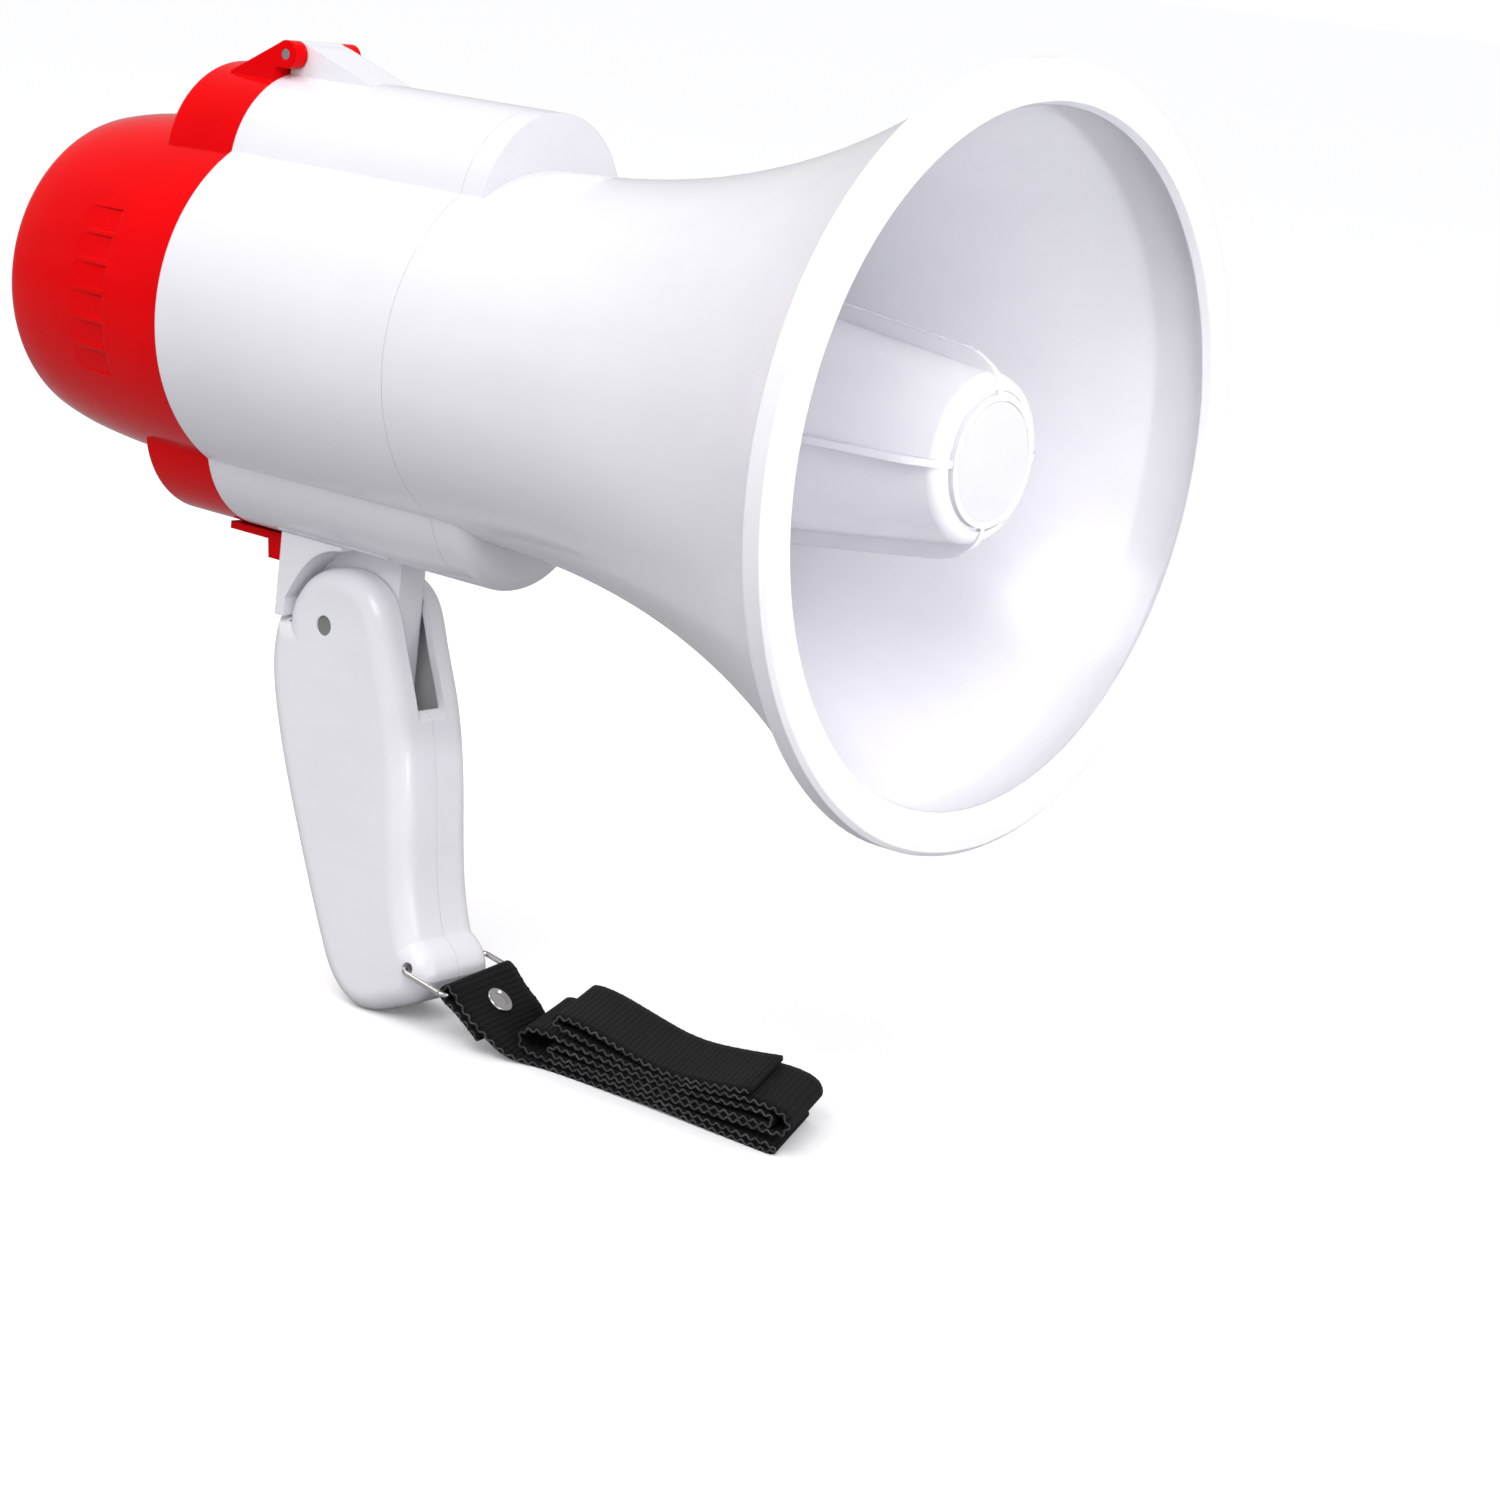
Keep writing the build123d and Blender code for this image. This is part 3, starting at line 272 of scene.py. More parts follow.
# plastics
plastics = {
    "shellWhite": {
        "shine": 0.5, "colour": (0.84, 0.835, 0.87), "shade": (0.79, 0.785, 0.83),
        "rough": 0.27, "peel": 0.05, "scratch": 0.015, "coat": 0.25, "edge": 0.5,
    },
    "rimWhite": {
        "shine": 0.5, "colour": (0.86, 0.86, 0.89), "shade": (0.83, 0.83, 0.865),
        "rough": 0.42, "peel": 0.06, "scratch": 0.02, "coat": 0.0, "edge": 0.5,
    },
    "discGrey": {
        "shine": 0.3, "colour": (0.62, 0.615, 0.65), "shade": (0.59, 0.585, 0.625),
        "rough": 0.5, "peel": 0.08, "scratch": 0.06, "coat": 0.0, "edge": 0.15,
    },
    "capRed": {
        "shine": 0.08, "tint": (1.0, 0.1, 0.2), "colour": (0.8, 0.001, 0.003),
        "shade": (0.68, 0.001, 0.002), "rough": 0.13, "peel": 0.04, "scratch": 0.02,
        "coat": 0.03, "edge": 0.5,
    },
    "buttonRed": {
        "shine": 0.3, "tint": (1.0, 0.4, 0.45), "colour": (0.6, 0.005, 0.02),
        "shade": (0.5, 0.003, 0.015), "rough": 0.26, "peel": 0.05, "scratch": 0.12,
        "coat": 0.3, "edge": 0.2,
    },
    "trayGrey": {
        "shine": 0.5, "colour": (0.13, 0.13, 0.14), "shade": (0.1, 0.1, 0.11), "rough": 0.5,
        "peel": 0.2, "scratch": 0.2, "coat": 0.0, "edge": 0.3,
    },
    "switchBlack": {
        "shine": 0.5, "colour": (0.03, 0.03, 0.032), "shade": (0.018, 0.018, 0.02),
        "rough": 0.45, "peel": 0.15, "scratch": 0.2, "coat": 0.0, "edge": 0.15,
    },
    "boardGreen": {
        "shine": 0.5, "colour": (0.02, 0.16, 0.05), "shade": (0.012, 0.1, 0.035),
        "rough": 0.35, "peel": 0.1, "scratch": 0.15, "coat": 0.4, "edge": 0.1,
    },
    "lightDark": {
        "shine": 0.5, "colour": (0.05, 0.012, 0.012), "shade": (0.02, 0.006, 0.006),
        "rough": 0.08, "peel": 0.01, "scratch": 0.05, "coat": 1.0, "edge": 0.15,
    },
    "filmAmber": {
        "shine": 0.5, "colour": (0.6, 0.36, 0.1), "shade": (0.45, 0.25, 0.06), "rough": 0.3,
        "peel": 0.05, "scratch": 0.05, "coat": 0.2, "edge": 0.05,
    },
    "ferriteDark": {
        "shine": 0.5, "colour": (0.06, 0.06, 0.065), "shade": (0.035, 0.035, 0.04),
        "rough": 0.7, "peel": 0.4, "scratch": 0.2, "coat": 0.0, "edge": 0.2,
    },
    "cellWrap": {
        "shine": 0.5, "colour": (0.02, 0.12, 0.05), "shade": (0.015, 0.08, 0.035),
        "rough": 0.25, "peel": 0.05, "scratch": 0.2, "coat": 0.5, "edge": 0.3,
    },
    "printInk": {
        "shine": 0.5, "colour": (0.03, 0.03, 0.033), "shade": (0.05, 0.05, 0.052),
        "rough": 0.5, "peel": 0.1, "scratch": 0.3, "coat": 0.0, "edge": 0.0,
    },
    "pinGrey": {
        "shine": 0.5, "colour": (0.2, 0.215, 0.2), "shade": (0.12, 0.13, 0.12),
        "rough": 0.45, "peel": 0.3, "scratch": 0.4, "coat": 0.0, "edge": 0.2,
    },
}


def plasticFinish(name, values):
    material, tree, shader, place = openMaterial(name)
    grain = useGroup(tree, "mouldGrain", Vector=place)
    wear = useGroup(tree, "handlingWear", Vector=place)
    body = blendColour(tree, grain["Cloud"], (*values["colour"], 1), (*values["shade"], 1))
    scuffed = blendColour(
        tree,
        maths(tree, "MULTIPLY", wear["Scratch"], values["scratch"]),
        body,
        (*[min(1.0, 0.25 + channel) for channel in values["colour"]], 1),
    )
    speck = (*[0.4 * channel for channel in values["shade"]], 1)
    flecked = blendColour(tree, maths(tree, "MULTIPLY", grain["Fleck"], 0.12), scuffed, speck)
    smudge = maths(tree, "MULTIPLY", wear["Smudge"], 0.03)
    rough = maths(tree, "ADD", smudge, maths(tree, "MULTIPLY", wear["Scratch"], values["scratch"]))
    feed(
        tree,
        shader,
        {
            "Base Color": flecked,
            "Roughness": maths(tree, "ADD", rough, values["rough"] - 0.03),
            "Normal": bumpFrom(tree, grain["Height"], values["peel"], 0.1 * mm, values["edge"] * mm),
            "IOR": 1.5,
            "Specular IOR Level": values["shine"],
            "Specular Tint": (*values.get("tint", (1.0, 1.0, 1.0)), 1),
            "Coat Weight": values["coat"],
            "Coat Roughness": 0.06,
        },
    )
    return material


# metals
metals = {
    "steelPlated": {
        "colour": (0.62, 0.62, 0.64), "dark": (0.4, 0.4, 0.42), "rough": 0.3,
        "lines": 2600.0, "length": 0.1, "metal": 1.0, "edge": 0.15, "grain": 0.1,
    },
    "wireBright": {
        "colour": (0.78, 0.77, 0.74), "dark": (0.5, 0.48, 0.44), "rough": 0.12,
        "lines": 2600.0, "length": 0.2, "metal": 1.0, "edge": 0.0, "grain": 0.05,
    },
    "coilCopper": {
        "colour": (0.75, 0.36, 0.18), "dark": (0.45, 0.18, 0.08), "rough": 0.3,
        "lines": 4200.0, "length": 6.0, "metal": 1.0, "edge": 0.0, "grain": 0.3,
    },
}


def metalFinish(name, values):
    material, tree, shader, place = openMaterial(name)
    lines = useGroup(tree, "brushLines", Vector=place, Line_Scale=values["lines"], Length=values["length"])
    wear = useGroup(tree, "handlingWear", Vector=place, Scratch_Scale=140.0)
    tone = spread(tree, lines["Mottle"], 0.3, 0.75)
    body = blendColour(tree, maths(tree, "MULTIPLY", tone, 0.5), (*values["colour"], 1), (*values["dark"], 1))
    brushed = maths(tree, "MULTIPLY", lines["Line"], 0.12)
    rough = maths(tree, "ADD", brushed, maths(tree, "MULTIPLY", wear["Scratch"], 0.2))
    feed(
        tree,
        shader,
        {
            "Base Color": body,
            "Metallic": values["metal"],
            "Roughness": maths(tree, "ADD", rough, values["rough"] - 0.06),
            "Normal": bumpFrom(tree, lines["Line"], values["grain"], 0.05 * mm, values["edge"] * mm),
        },
    )
    return material


# pale brushed plate of the control panel
plateLook = {"colour": (0.80, 0.80, 0.775), "dark": (0.66, 0.66, 0.64), "rough": 0.36, "metal": 0.35}


def plateFinish(name, values):
    material, tree, shader, place = openMaterial(name)
    turned = addNode(tree, "ShaderNodeMapping")
    feed(tree, turned, {"Vector": place, "Rotation": (0, 0, math.pi / 2)})
    lines = useGroup(tree, "brushLines", Vector=turned.outputs["Vector"], Line_Scale=3000.0, Length=0.03)
    specks = noise(tree, place, 2600.0, 3.0, 0.8)
    tone = maths(tree, "MULTIPLY", spread(tree, lines["Line"], 0.35, 0.7), spread(tree, specks, 0.3, 0.75))
    wear = useGroup(tree, "handlingWear", Vector=place, Scratch_Scale=90.0)
    feed(
        tree,
        shader,
        {
            "Base Color": blendColour(tree, tone, (*values["colour"], 1), (*values["dark"], 1)),
            "Metallic": values["metal"],
            "Roughness": maths(
                tree, "ADD", maths(tree, "MULTIPLY", wear["Smudge"], 0.1), values["rough"] - 0.03
            ),
            "Normal": bumpFrom(tree, lines["Line"], 0.15, 0.05 * mm, 0.1 * mm),
        },
    )
    return material


# black webbing and its thread
webbingLook = {
    # the first colour is the grooves with painted shade, the second the crests with a painted highlight
    "dark": (0.002, 0.002, 0.0022),
    "light": (0.014, 0.0135, 0.013),
    "rough": 0.72,
    "ribPitch": 1.45,
    "cellPitch": 0.75,
}
# thread: the second colour is a painted glint on the dark stitching
threadLook = {"dark": (0.012, 0.012, 0.0125), "light": (0.11, 0.105, 0.1), "rough": 0.6}


def webbingFinish(name, values):
    material, tree, shader, place = openMaterial(name)
    flow = addNode(tree, "ShaderNodeUVMap", uv_map="flow").outputs[0]
    pitches = {"Rib_Pitch": values["ribPitch"] * mm, "Cell_Pitch": values["cellPitch"] * mm}
    weave = useGroup(tree, "ribWeave", Vector=flow, **pitches)
    # painted shade in the grooves between ribs and a painted highlight on their crests, from the weave height,
    # broken up by random fuzz and fade
    tone = maths(tree, "MULTIPLY", weave["Height"], spread(tree, weave["Fuzz"], 0.3, 0.75, 0.4, 1.0))
    fade = spread(tree, noise(tree, place, 60.0, 3.0), 0.35, 0.7, 0.6, 1.0)
    shade = maths(tree, "MULTIPLY", tone, fade)
    colour = blendColour(tree, shade, (*values["dark"], 1), (*values["light"], 1))
    height = maths(tree, "ADD", weave["Height"], maths(tree, "MULTIPLY", weave["Fuzz"], 0.25))
    feed(
        tree,
        shader,
        {
            "Base Color": colour,
            "Roughness": maths(tree, "ADD", maths(tree, "MULTIPLY", weave["Fuzz"], 0.2), values["rough"] - 0.1),
            "Normal": bumpFrom(tree, height, 0.9, 0.28 * mm),
            "Specular IOR Level": 0.12,
            "Sheen Weight": 0.02,
            "Sheen Roughness": 0.5,
        },
    )
    return material


def threadFinish(name, values):
    material, tree, shader, place = openMaterial(name)
    twist = noise(tree, place, 3400.0, 2.0, 0.7)
    # painted glint: patches where the thread colour is lifted towards a pale highlight, broken up by the twist
    # noise
    paintedGlint = spread(tree, noise(tree, place, 260.0, 2.0), 0.42, 0.66)
    tone = maths(tree, "MULTIPLY", spread(tree, twist, 0.3, 0.7), paintedGlint)
    feed(
        tree,
        shader,
        {
            "Base Color": blendColour(tree, tone, (*values["dark"], 1), (*values["light"], 1)),
            "Roughness": maths(tree, "ADD", maths(tree, "MULTIPLY", twist, 0.3), values["rough"] - 0.15),
            "Normal": bumpFrom(tree, twist, 0.5, 0.08 * mm),
            "Sheen Weight": 0.3,
        },
    )
    return material


materials = {name: plasticFinish(name, values) for name, values in plastics.items()}
materials.update({name: metalFinish(name, values) for name, values in metals.items()})
materials["plateSilver"] = plateFinish("plateSilver", plateLook)
materials["webbingBlack"] = webbingFinish("webbingBlack", webbingLook)
materials["edgeThread"] = threadFinish("edgeThread", threadLook)
print("materials:", len(materials))

# finishes of the CAD nodes, by the slot that the record gives
slotFinish = {
    "shell_white": "shellWhite",
    "rim_white": "rimWhite",
    "disc_grey": "discGrey",
    "tray_grey": "trayGrey",
    "film": "filmAmber",
    "copper": "coilCopper",
    "steel": "steelPlated",
    "ferrite": "ferriteDark",
    "battery_wrap": "cellWrap",
    "cap_red": "capRed",
    "plate_silver": "plateSilver",
    "button_red": "buttonRed",
    "switch_black": "switchBlack",
    "board_green": "boardGreen",
    "light_dark": "lightDark",
    "pin_grey": "pinGrey",
    "bright_metal": "wireBright",
    "webbing": "webbingBlack",
}
for entry in frame["record"]["subparts"]:
    node = frame["nodes"][entry["node"]]
    for place in node.material_slots:
        place.material = materials[slotFinish[entry["material_slot"]]]


# mesh helpers
def keepPiece(name, bm, material, body, smooth=True):
    mesh = bpy.data.meshes.new(name)
    bm.to_mesh(mesh)
    bm.free()
    piece = bpy.data.objects.new(name, mesh)
    bpy.context.scene.collection.objects.link(piece)
    mesh.materials.append(materials[material])
    for face in mesh.polygons:
        face.use_smooth = smooth
    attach(piece, body)
    return piece


# Evenly smooth run of points from a NURBS curve through given control points, in metres
def curveLine(points, name="line", cyclic=False):
    curve = bpy.data.curves.new(name, "CURVE")
    curve.dimensions = "3D"
    curve.resolution_u = 6
    spline = curve.splines.new("NURBS")
    spline.points.add(len(points) - 1)
    for knot, point in zip(spline.points, points):
        knot.co = (*[value * mm for value in point], 1)
    spline.order_u = 3
    spline.use_endpoint_u = not cyclic
    spline.use_cyclic_u = cyclic
    holder = bpy.data.objects.new(name, curve)
    mesh = bpy.data.meshes.new_from_object(holder)
    line = [vertex.co.copy() for vertex in mesh.vertices]
    bpy.data.objects.remove(holder)
    bpy.data.curves.remove(curve)
    bpy.data.meshes.remove(mesh)
    return line


# wrist strap: one length of webbing, from its stitched end round the wire and into a folded stack
strapMake = {
    "width": 25.0,
    "thickness": 1.1,
    "wireNear": (6.97, -12.54, 12.2),
    "down": (0.778, 0.125, -0.616),
    "outward": (0.608, 0.098, 0.788),
    "neckSkew": (-4.0, 24.7),
    "stackSkew": (-10.5, 25.0),
    "stackY": -3.6,
    "columns": 10,
    # places about the wire: distance down the neck, distance off its middle
    "loop": [
        (12.5, -0.8), (9, -0.8), (5, -0.85), (2.4, -1.2), (0.4, -1.6), (-1.5, -1.4),
        (-1.9, 0), (-1.5, 1.4), (0.4, 1.6), (2.4, 1.25), (5, 0.85), (9, 0.8),
    ],
    "drop": [(18.6, -10.4, 4.7), (22.2, -8.2, 1.6), (26, -5.8, 0.75), (31, -4.2, 0.6)],
    # side view of the folded layers: place along, height
    "stack": [
        (40, 0.6), (52, 0.8), (63, 1.1), (76, 0.8), (90, 0.6), (95.6, 0.6), (96.6, 1.4), (95.6, 2.2),
        (90, 2.1), (76, 2.2), (63, 2.4), (50, 2.4), (36, 2.2), (27, 2.1), (23.0, 2.5), (21.4, 4.9),
        (23.4, 7.4), (28, 8.0), (36, 7.7), (50, 6.8), (63, 6.2), (76, 7.2), (86, 8.2), (91, 8.7),
        (94.2, 8.5), (95.2, 7.2), (94.0, 6.1), (88, 6.0), (76, 5.4), (63, 4.95), (50, 5.1), (38, 5.6),
        (32.2, 5.7), (30.4, 4.6), (32.2, 3.5), (38, 3.5), (50, 3.7), (63, 3.68), (76, 4.1), (88, 4.7),
        (95, 4.9), (98.6, 5.6), (99.6, 7.8), (97.6, 9.9), (92, 10.5), (84, 9.9), (76, 8.8), (63, 7.5),
        (50, 8.3), (40, 9.8), (35, 10.3), (32.4, 10.6), (31.2, 11.8), (32.8, 13.0), (40, 12.8), (50, 11.0),
        (63, 8.8), (76, 9.9), (88, 12.0),
    ],
}


# Near edge of the strap as control points, and how many of them belong to the loop
def strapEdge(make):
    base, down, outward = (Vector(make[key]) for key in ("wireNear", "down", "outward"))
    loop = [tuple(base + down * along + outward * off) for along, off in make["loop"]]
    stack = [(x, make["stackY"], z) for x, z in make["stack"]]
    return loop + make["drop"] + stack


# Vector from the near edge to the far edge at a point of the near edge
def strapAcross(make, point):
    share = min(1.0, max(0.0, (point.x / mm - 14.0) / 12.0))
    share = share * share * (3 - 2 * share)
    near, far = make["neckSkew"], make["stackSkew"]
    lift = 0.7 * (1 - share)
    return Vector((near[0] + (far[0] - near[0]) * share, near[1] + (far[1] - near[1]) * share, lift)) * mm


def buildStrap(make):
    line = curveLine(strapEdge(make), "strapEdge")
    bm = bmesh.new()
    chain = [bm.verts.new(line[0])]
    for point in line[1:]:  # draws the near edge one vertex at a time
        grown = bmesh.ops.extrude_vert_indiv(bm, verts=[chain[-1]])["verts"][0]
        grown.co = point
        chain.append(grown)
    rows = [chain]
    for column in range(make["columns"]):
        before = rows[-1]
        keep = {vertex: index for index, vertex in enumerate(before)}
        edges = [edge for edge in bm.edges if edge.verts[0] in keep and edge.verts[1] in keep]
        grown = bmesh.ops.extrude_edge_only(bm, edges=edges)
        fresh = [item for item in grown["geom"] if isinstance(item, bmesh.types.BMVert)]
        partner = {}
        for vertex in fresh:
            for edge in vertex.link_edges:
                other = edge.other_vert(vertex)
                if other in keep:
                    partner[keep[other]] = vertex
        rows.append([partner[index] for index in range(len(before))])
        for index, vertex in enumerate(rows[-1]):
            vertex.co = line[index] + strapAcross(make, line[index]) * ((column + 1) / make["columns"])
    flow = bm.loops.layers.uv.new("flow")
    reach = [0.0]
    for first, second in zip(line, line[1:]):
        reach.append(reach[-1] + (second - first).length)
    spot = {vertex: (column, index) for column, row in enumerate(rows) for index, vertex in enumerate(row)}
    for face in bm.faces:
        for corner in face.loops:
            column, index = spot[corner.vert]
            corner[flow].uv = (column / make["columns"] * make["width"] * mm, reach[index])
    bmesh.ops.recalc_face_normals(bm, faces=bm.faces[:])
    print(f"strap line {reach[-1]:.3f} m, {len(line)} points")
    strap = keepPiece("strapWebbing", bm, "webbingBlack", "strap")
    wall = strap.modifiers.new("wall", "SOLIDIFY")
    wall.thickness = make["thickness"] * mm
    wall.offset = 0
    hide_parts("strap")
    return strap, line, reach


strapWebbing, strapLine, strapReach = buildStrap(strapMake)

# edge thread: a wavy stitched line along both edges of the webbing
threadMake = {"pitch": 2.7, "wave": 0.42, "radius": 0.2, "stand": 0.12, "steps": 6, "sides": 5}


# Edges that join two of the given vertices
def edgesAmong(verts):
    near = {edge for vertex in verts for edge in vertex.link_edges}
    return [edge for edge in near if edge.verts[0] in verts and edge.verts[1] in verts]


# Round tube through a run of points, closed at both ends, grown ring by ring
def tubeAlong(bm, points, radius, sides):
    ahead = (points[1] - points[0]).normalized()
    turn = ahead.to_track_quat("Z", "Y").to_matrix().to_4x4()
    seat = Matrix.Translation(points[0]) @ turn
    ring = bmesh.ops.create_circle(bm, cap_ends=False, radius=radius, segments=sides, matrix=seat)["verts"]
    firstRing = list(ring)
    for index, point in enumerate(points[1:], 1):
        edges = edgesAmong(ring)
        pulled = bmesh.ops.extrude_edge_only(bm, edges=edges)["geom"]
        grown = [item for item in pulled if isinstance(item, bmesh.types.BMVert)]
        after = points[min(index + 1, len(points) - 1)]
        fresh = (after - points[index - 1]).normalized()
        swing = ahead.rotation_difference(fresh).to_matrix()
        bmesh.ops.translate(bm, verts=grown, vec=point - points[index - 1])
        bmesh.ops.rotate(bm, verts=grown, cent=point, matrix=swing)
        ahead = fresh
        ring = grown
    for loop in (firstRing, ring):
        edges = edgesAmong(loop)
        bmesh.ops.contextual_create(bm, geom=edges)


def buildEdgeThread(make, strap, line, reach):
    bm = bmesh.new()
    for side in (0, 1):
        points = []
        step = make["pitch"] * mm / make["steps"]
        place, index = 0.0, 0
        while place < reach[-1]:
            while reach[index + 1] < place:
                index += 1
            share = (place - reach[index]) / (reach[index + 1] - reach[index])
            spot = line[index].lerp(line[index + 1], share)
            ahead = (line[index + 1] - line[index]).normalized()
            across = strapAcross(strap, spot)
            upward = ahead.cross(across).normalized()
            sway = math.sin(2 * math.pi * place / (make["pitch"] * mm) + 1.3 * side) * make["wave"] * mm
            stand = across.normalized() * make["stand"] * mm
            points.append(spot + upward * sway + (across + stand if side else -stand))
            place += step
        tubeAlong(bm, points, make["radius"] * mm, make["sides"])
    bmesh.ops.recalc_face_normals(bm, faces=bm.faces[:])
    return keepPiece("strapEdgeThread", bm, "edgeThread", "strap")


strapThread = buildEdgeThread(threadMake, strapMake, strapLine, strapReach)
print("edge thread:", len(strapThread.data.polygons), "faces")

# rivet through the neck: a raised ring round a dished head, on both faces
rivetMake = {
    "along": 6.5,
    "stand": 1.36,
    "turns": 40,
    "profile": [
        (0.0, 0.75), (0.9, 0.72), (1.7, 0.5), (2.15, 0.25), (2.45, 0.3),
        (2.75, 0.72), (3.1, 0.8), (3.35, 0.55), (3.4, 0.15), (3.3, -0.12),
    ],
}


def buildRivet(make, strap):
    down, outward = Vector(strap["down"]), Vector(strap["outward"])
    base = Vector(strap["wireNear"])
    middle = (base + Vector((*strap["neckSkew"], 0.7)) * 0.5 + down * make["along"]) * mm
    bm = bmesh.new()
    for side in (1, -1):
        normal = outward * side
        seat = middle + normal * make["stand"] * mm
        first = []
        for radius, height in make["profile"]:
            first.append(bm.verts.new(seat + down * radius * mm + normal * height * mm))
        edges = [bm.edges.new(pair) for pair in zip(first, first[1:])]
        whole = 2 * math.pi
        bmesh.ops.spin(
            bm, geom=first + edges, cent=seat, axis=normal, angle=whole, steps=make["turns"], use_merge=True
        )
    bmesh.ops.remove_doubles(bm, verts=bm.verts[:], dist=0.005 * mm)
    rims = [edge for edge in bm.edges if edge.is_boundary]
    bmesh.ops.bridge_loops(bm, edges=rims)
    bmesh.ops.recalc_face_normals(bm, faces=bm.faces[:])
    rivet = keepPiece("strapRivet", bm, "wireBright", "strap")
    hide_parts("strap_rivet")
    return rivet


rivet = buildRivet(rivetMake, strapMake)
print("strap, thread and rivet done")

# printed signs on the plate
signMake = {"thick": 0.05, "line": 0.42, "above": 8.4, "between": 6.9}
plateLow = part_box("face_plate")[0]


# Draws flat signs on the plate. Local x runs to the right as seen from behind, local y up, in mm
class SignDrawer:
    def __init__(self, make):
        self.make = make
        self.bm = bmesh.new()

    def thicken(self, faces, middle):
        grown = bmesh.ops.extrude_face_region(self.bm, geom=faces)
        top = [item for item in grown["geom"] if isinstance(item, bmesh.types.BMVert)]
        bmesh.ops.translate(self.bm, verts=top, vec=(0, 0, self.make["thick"]))
        solid = set(top)
        for face in faces:
            if face.is_valid:
                solid.update(face.verts)
        # right becomes -Y, up stays up, thickness points to -X
        turn = Matrix(((0, 0, -1), (-1, 0, 0), (0, 1, 0)))
        for vertex in solid:
            place = turn @ vertex.co
            seat = Vector((plateLow.x, 0, 0)) + place * mm
            vertex.co = seat + Vector((0, middle[0], middle[1]))

    def ring(self, middle, centre, outer, inner, start=0.0, sweep=360.0):
        steps = max(6, int(sweep / 9))
        begin = math.radians(start)
        first = []
        for radius in (inner, outer):
            x, y = centre[0] + math.cos(begin) * radius, centre[1] + math.sin(begin) * radius
            first.append(self.bm.verts.new((x, y, 0)))
        edge = self.bm.edges.new(first)
        bmesh.ops.spin(
            self.bm,
            geom=[*first, edge],
            cent=(*centre, 0),
            axis=(0, 0, 1),
            angle=math.radians(sweep),
            steps=steps,
            use_merge=sweep >= 360,
        )
        self.thicken([face for face in self.bm.faces if not face.tag], middle)
        for face in self.bm.faces:
            face.tag = True

    def disc(self, middle, centre, radius, squash=1.0):
        seat = Matrix.Translation((*centre, 0)) @ Matrix.Diagonal((1, squash, 1, 1))
        made = bmesh.ops.create_circle(self.bm, cap_ends=True, radius=radius, segments=28, matrix=seat)
        self.thicken(list({face for vertex in made["verts"] for face in vertex.link_faces}), middle)
        for face in self.bm.faces:
            face.tag = True

    def shape(self, middle, corners):
        verts = [self.bm.verts.new((x, y, 0)) for x, y in corners]
        self.thicken([self.bm.faces.new(verts)], middle)
        for face in self.bm.faces:
            face.tag = True

    def bar(self, middle, centre, width, height):
        x, y = centre
        left, right = x - width / 2, x + width / 2
        low, high = y - height / 2, y + height / 2
        self.shape(middle, [(left, low), (right, low), (right, high), (left, high)])


def signPlace(button, rise):
    low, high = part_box(button)
    return ((low.y + high.y) / 2, (low.z + high.z) / 2 + rise * mm)


def buildSigns(make):
    draw = SignDrawer(make)
    line = make["line"]
    power = signPlace("power_button", make["above"])
    draw.ring(power, (0, 0), 1.55, 1.55 - line, 125, 290)
    draw.bar(power, (0, 0.95), line, 1.7)
    note = signPlace("music_button", make["above"])
    draw.disc(note, (-0.7, -1.2), 0.62, 0.8)
    draw.disc(note, (1.15, -0.85), 0.62, 0.8)
    draw.bar(note, (-0.2, 0.2), line * 0.8, 2.6)
    draw.bar(note, (1.65, 0.5), line * 0.8, 2.6)
    draw.shape(note, [(-0.36, 1.0), (1.8, 1.3), (1.8, 1.9), (-0.36, 1.6)])
    record = signPlace("record_button", make["above"])
    draw.ring(record, (0, 0), 1.55, 1.55 - line * 0.7)
    draw.disc(record, (0, 0), 0.8)
    play = signPlace("play_button", make["above"])
    draw.shape(play, [(-1.0, -1.4), (1.5, 0), (-1.0, 1.4)])
    lessPlace = signPlace("volume_down_button", make["between"] + 0.1)
    morePlace = signPlace("volume_up_button", make["between"] + 0.1)
    draw.bar(lessPlace, (0, 0), 2.3, line)
    draw.bar(morePlace, (0, 0), 2.3, line)
    draw.bar(morePlace, (0, 0), line, 2.3)
    sound = ((lessPlace[0] + morePlace[0]) / 2, lessPlace[1])
    draw.shape(sound, [(-2.0, -0.5), (-1.2, -0.5), (-0.2, -1.3), (-0.2, 1.3), (-1.2, 0.5), (-2.0, 0.5)])
    draw.ring(sound, (-0.2, 0), 1.3, 1.3 - line * 0.8, -45, 90)
    draw.ring(sound, (-0.2, 0), 2.2, 2.2 - line * 0.8, -45, 90)
    bmesh.ops.recalc_face_normals(draw.bm, faces=draw.bm.faces[:])
    return keepPiece("panelSigns", draw.bm, "printInk", "rear_unit", smooth=False)


signs = buildSigns(signMake)
print("signs:", len(signs.data.polygons), "faces")

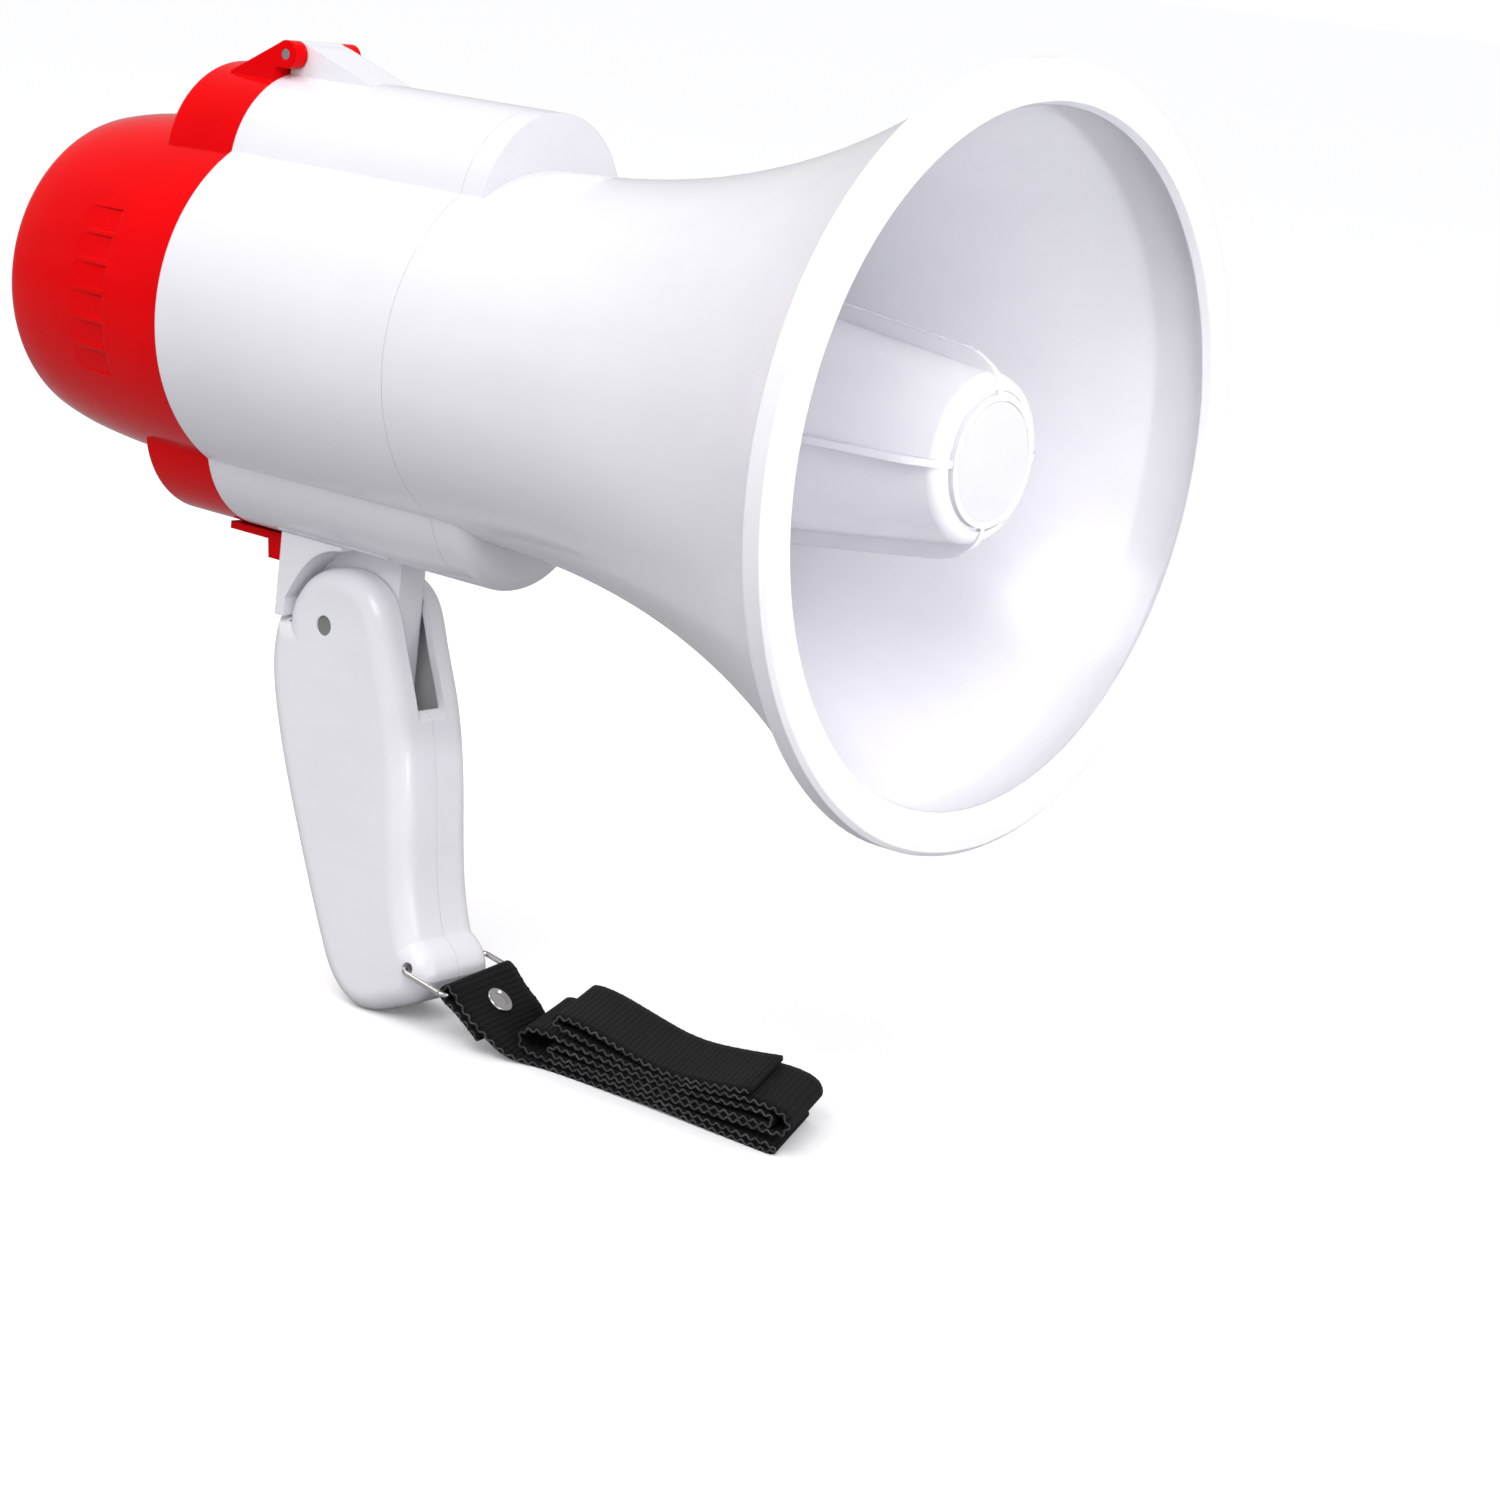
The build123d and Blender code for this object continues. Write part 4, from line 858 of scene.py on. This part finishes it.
# floor, world and soft lights
studio = {
    "floorSize": 80.0,
    "floorSeen": (1.0, 1.0, 1.0),
    "floorLit": (0.36, 0.36, 0.37),
    "world": (0.975, 0.98, 1.0),
    "worldSeen": 1.08,
    "worldLit": 0.9,
    "worldMirrored": 0.4,
    "floorGlow": 0.1,
    # the narrow lamp that lights the inside of the bell
    "beam": {
        "place": (0.8, 0.03, 0.19), "target": (0.1, 0.0, 0.17), "size": 0.15, "power": 0.04,
        "spread": 14,
    },
    # name: place, target, size, power, colour
    "lamps": {
        "keySoftbox": ((0.55, -0.9, 1.1), (0.0, 0.0, 0.16), 0.8, 9.0, (1.0, 0.99, 0.985)),
        "bellSoftbox": ((1.5, 0.25, 0.6), (0.1, 0.0, 0.15), 1.0, 5.5, (1.0, 1.0, 1.0)),
        "lowFill": ((1.1, -0.45, 0.06), (0.1, 0.0, 0.2), 0.5, 1.4, (0.98, 0.98, 1.0)),
        "topSoftbox": ((-0.45, -0.35, 0.95), (-0.05, 0.0, 0.2), 0.45, 1.6, (0.98, 0.98, 1.0)),
    },
}


def buildStudio(values):
    bm = bmesh.new()
    bmesh.ops.create_grid(bm, x_segments=4, y_segments=4, size=values["floorSize"] / 2)
    mesh = bpy.data.meshes.new("studioFloor")
    bm.to_mesh(mesh)
    bm.free()
    floor = bpy.data.objects.new("studioFloor", mesh)
    bpy.context.scene.collection.objects.link(floor)
    material, tree, shader, place = openMaterial("paperFloor")
    seen = addNode(tree, "ShaderNodeLightPath").outputs["Is Camera Ray"]
    colour = blendColour(tree, seen, (*values["floorLit"], 1), (*values["floorSeen"], 1))
    glow = maths(tree, "MULTIPLY", seen, values["floorGlow"])
    feed(
        tree,
        shader,
        {
            "Base Color": colour,
            "Roughness": 1.0,
            "Specular IOR Level": 0.0,
            "Emission Color": (1, 1, 1, 1),
            "Emission Strength": glow,
        },
    )
    mesh.materials.append(material)
    world = bpy.data.worlds.new("studioWorld")
    world.use_nodes = True
    tree = world.node_tree
    background = tree.nodes["Background"]
    rays = addNode(tree, "ShaderNodeLightPath").outputs
    lit = values["worldLit"]
    seen = maths(tree, "MULTIPLY", rays["Is Camera Ray"], values["worldSeen"] - lit)
    mirrored = maths(tree, "MULTIPLY", rays["Is Glossy Ray"], values["worldMirrored"] - lit)
    power = maths(tree, "ADD", maths(tree, "ADD", lit, seen), mirrored)
    feed(tree, background, {"Color": (*values["world"], 1), "Strength": power})
    bpy.context.scene.world = world
    for name, (place, target, size, power, colour) in values["lamps"].items():
        data = bpy.data.lights.new(name, "AREA")
        data.shape = "SQUARE"
        data.size = size
        data.energy = power
        data.color = colour
        lamp = bpy.data.objects.new(name, data)
        lamp.location = place
        lamp.rotation_euler = (Vector(target) - Vector(place)).to_track_quat("-Z", "Y").to_euler()
        bpy.context.scene.collection.objects.link(lamp)
    beam = values["beam"]
    data = bpy.data.lights.new("bellBeam", "AREA")
    data.size = beam["size"]
    data.energy = beam["power"]
    data.spread = math.radians(beam["spread"])
    lamp = bpy.data.objects.new("bellBeam", data)
    lamp.location = beam["place"]
    lamp.rotation_euler = (Vector(beam["target"]) - Vector(beam["place"])).to_track_quat("-Z", "Y").to_euler()
    bpy.context.scene.collection.objects.link(lamp)
    bpy.context.scene.view_settings.view_transform = "Standard"


buildStudio(studio)
print("studio ready")
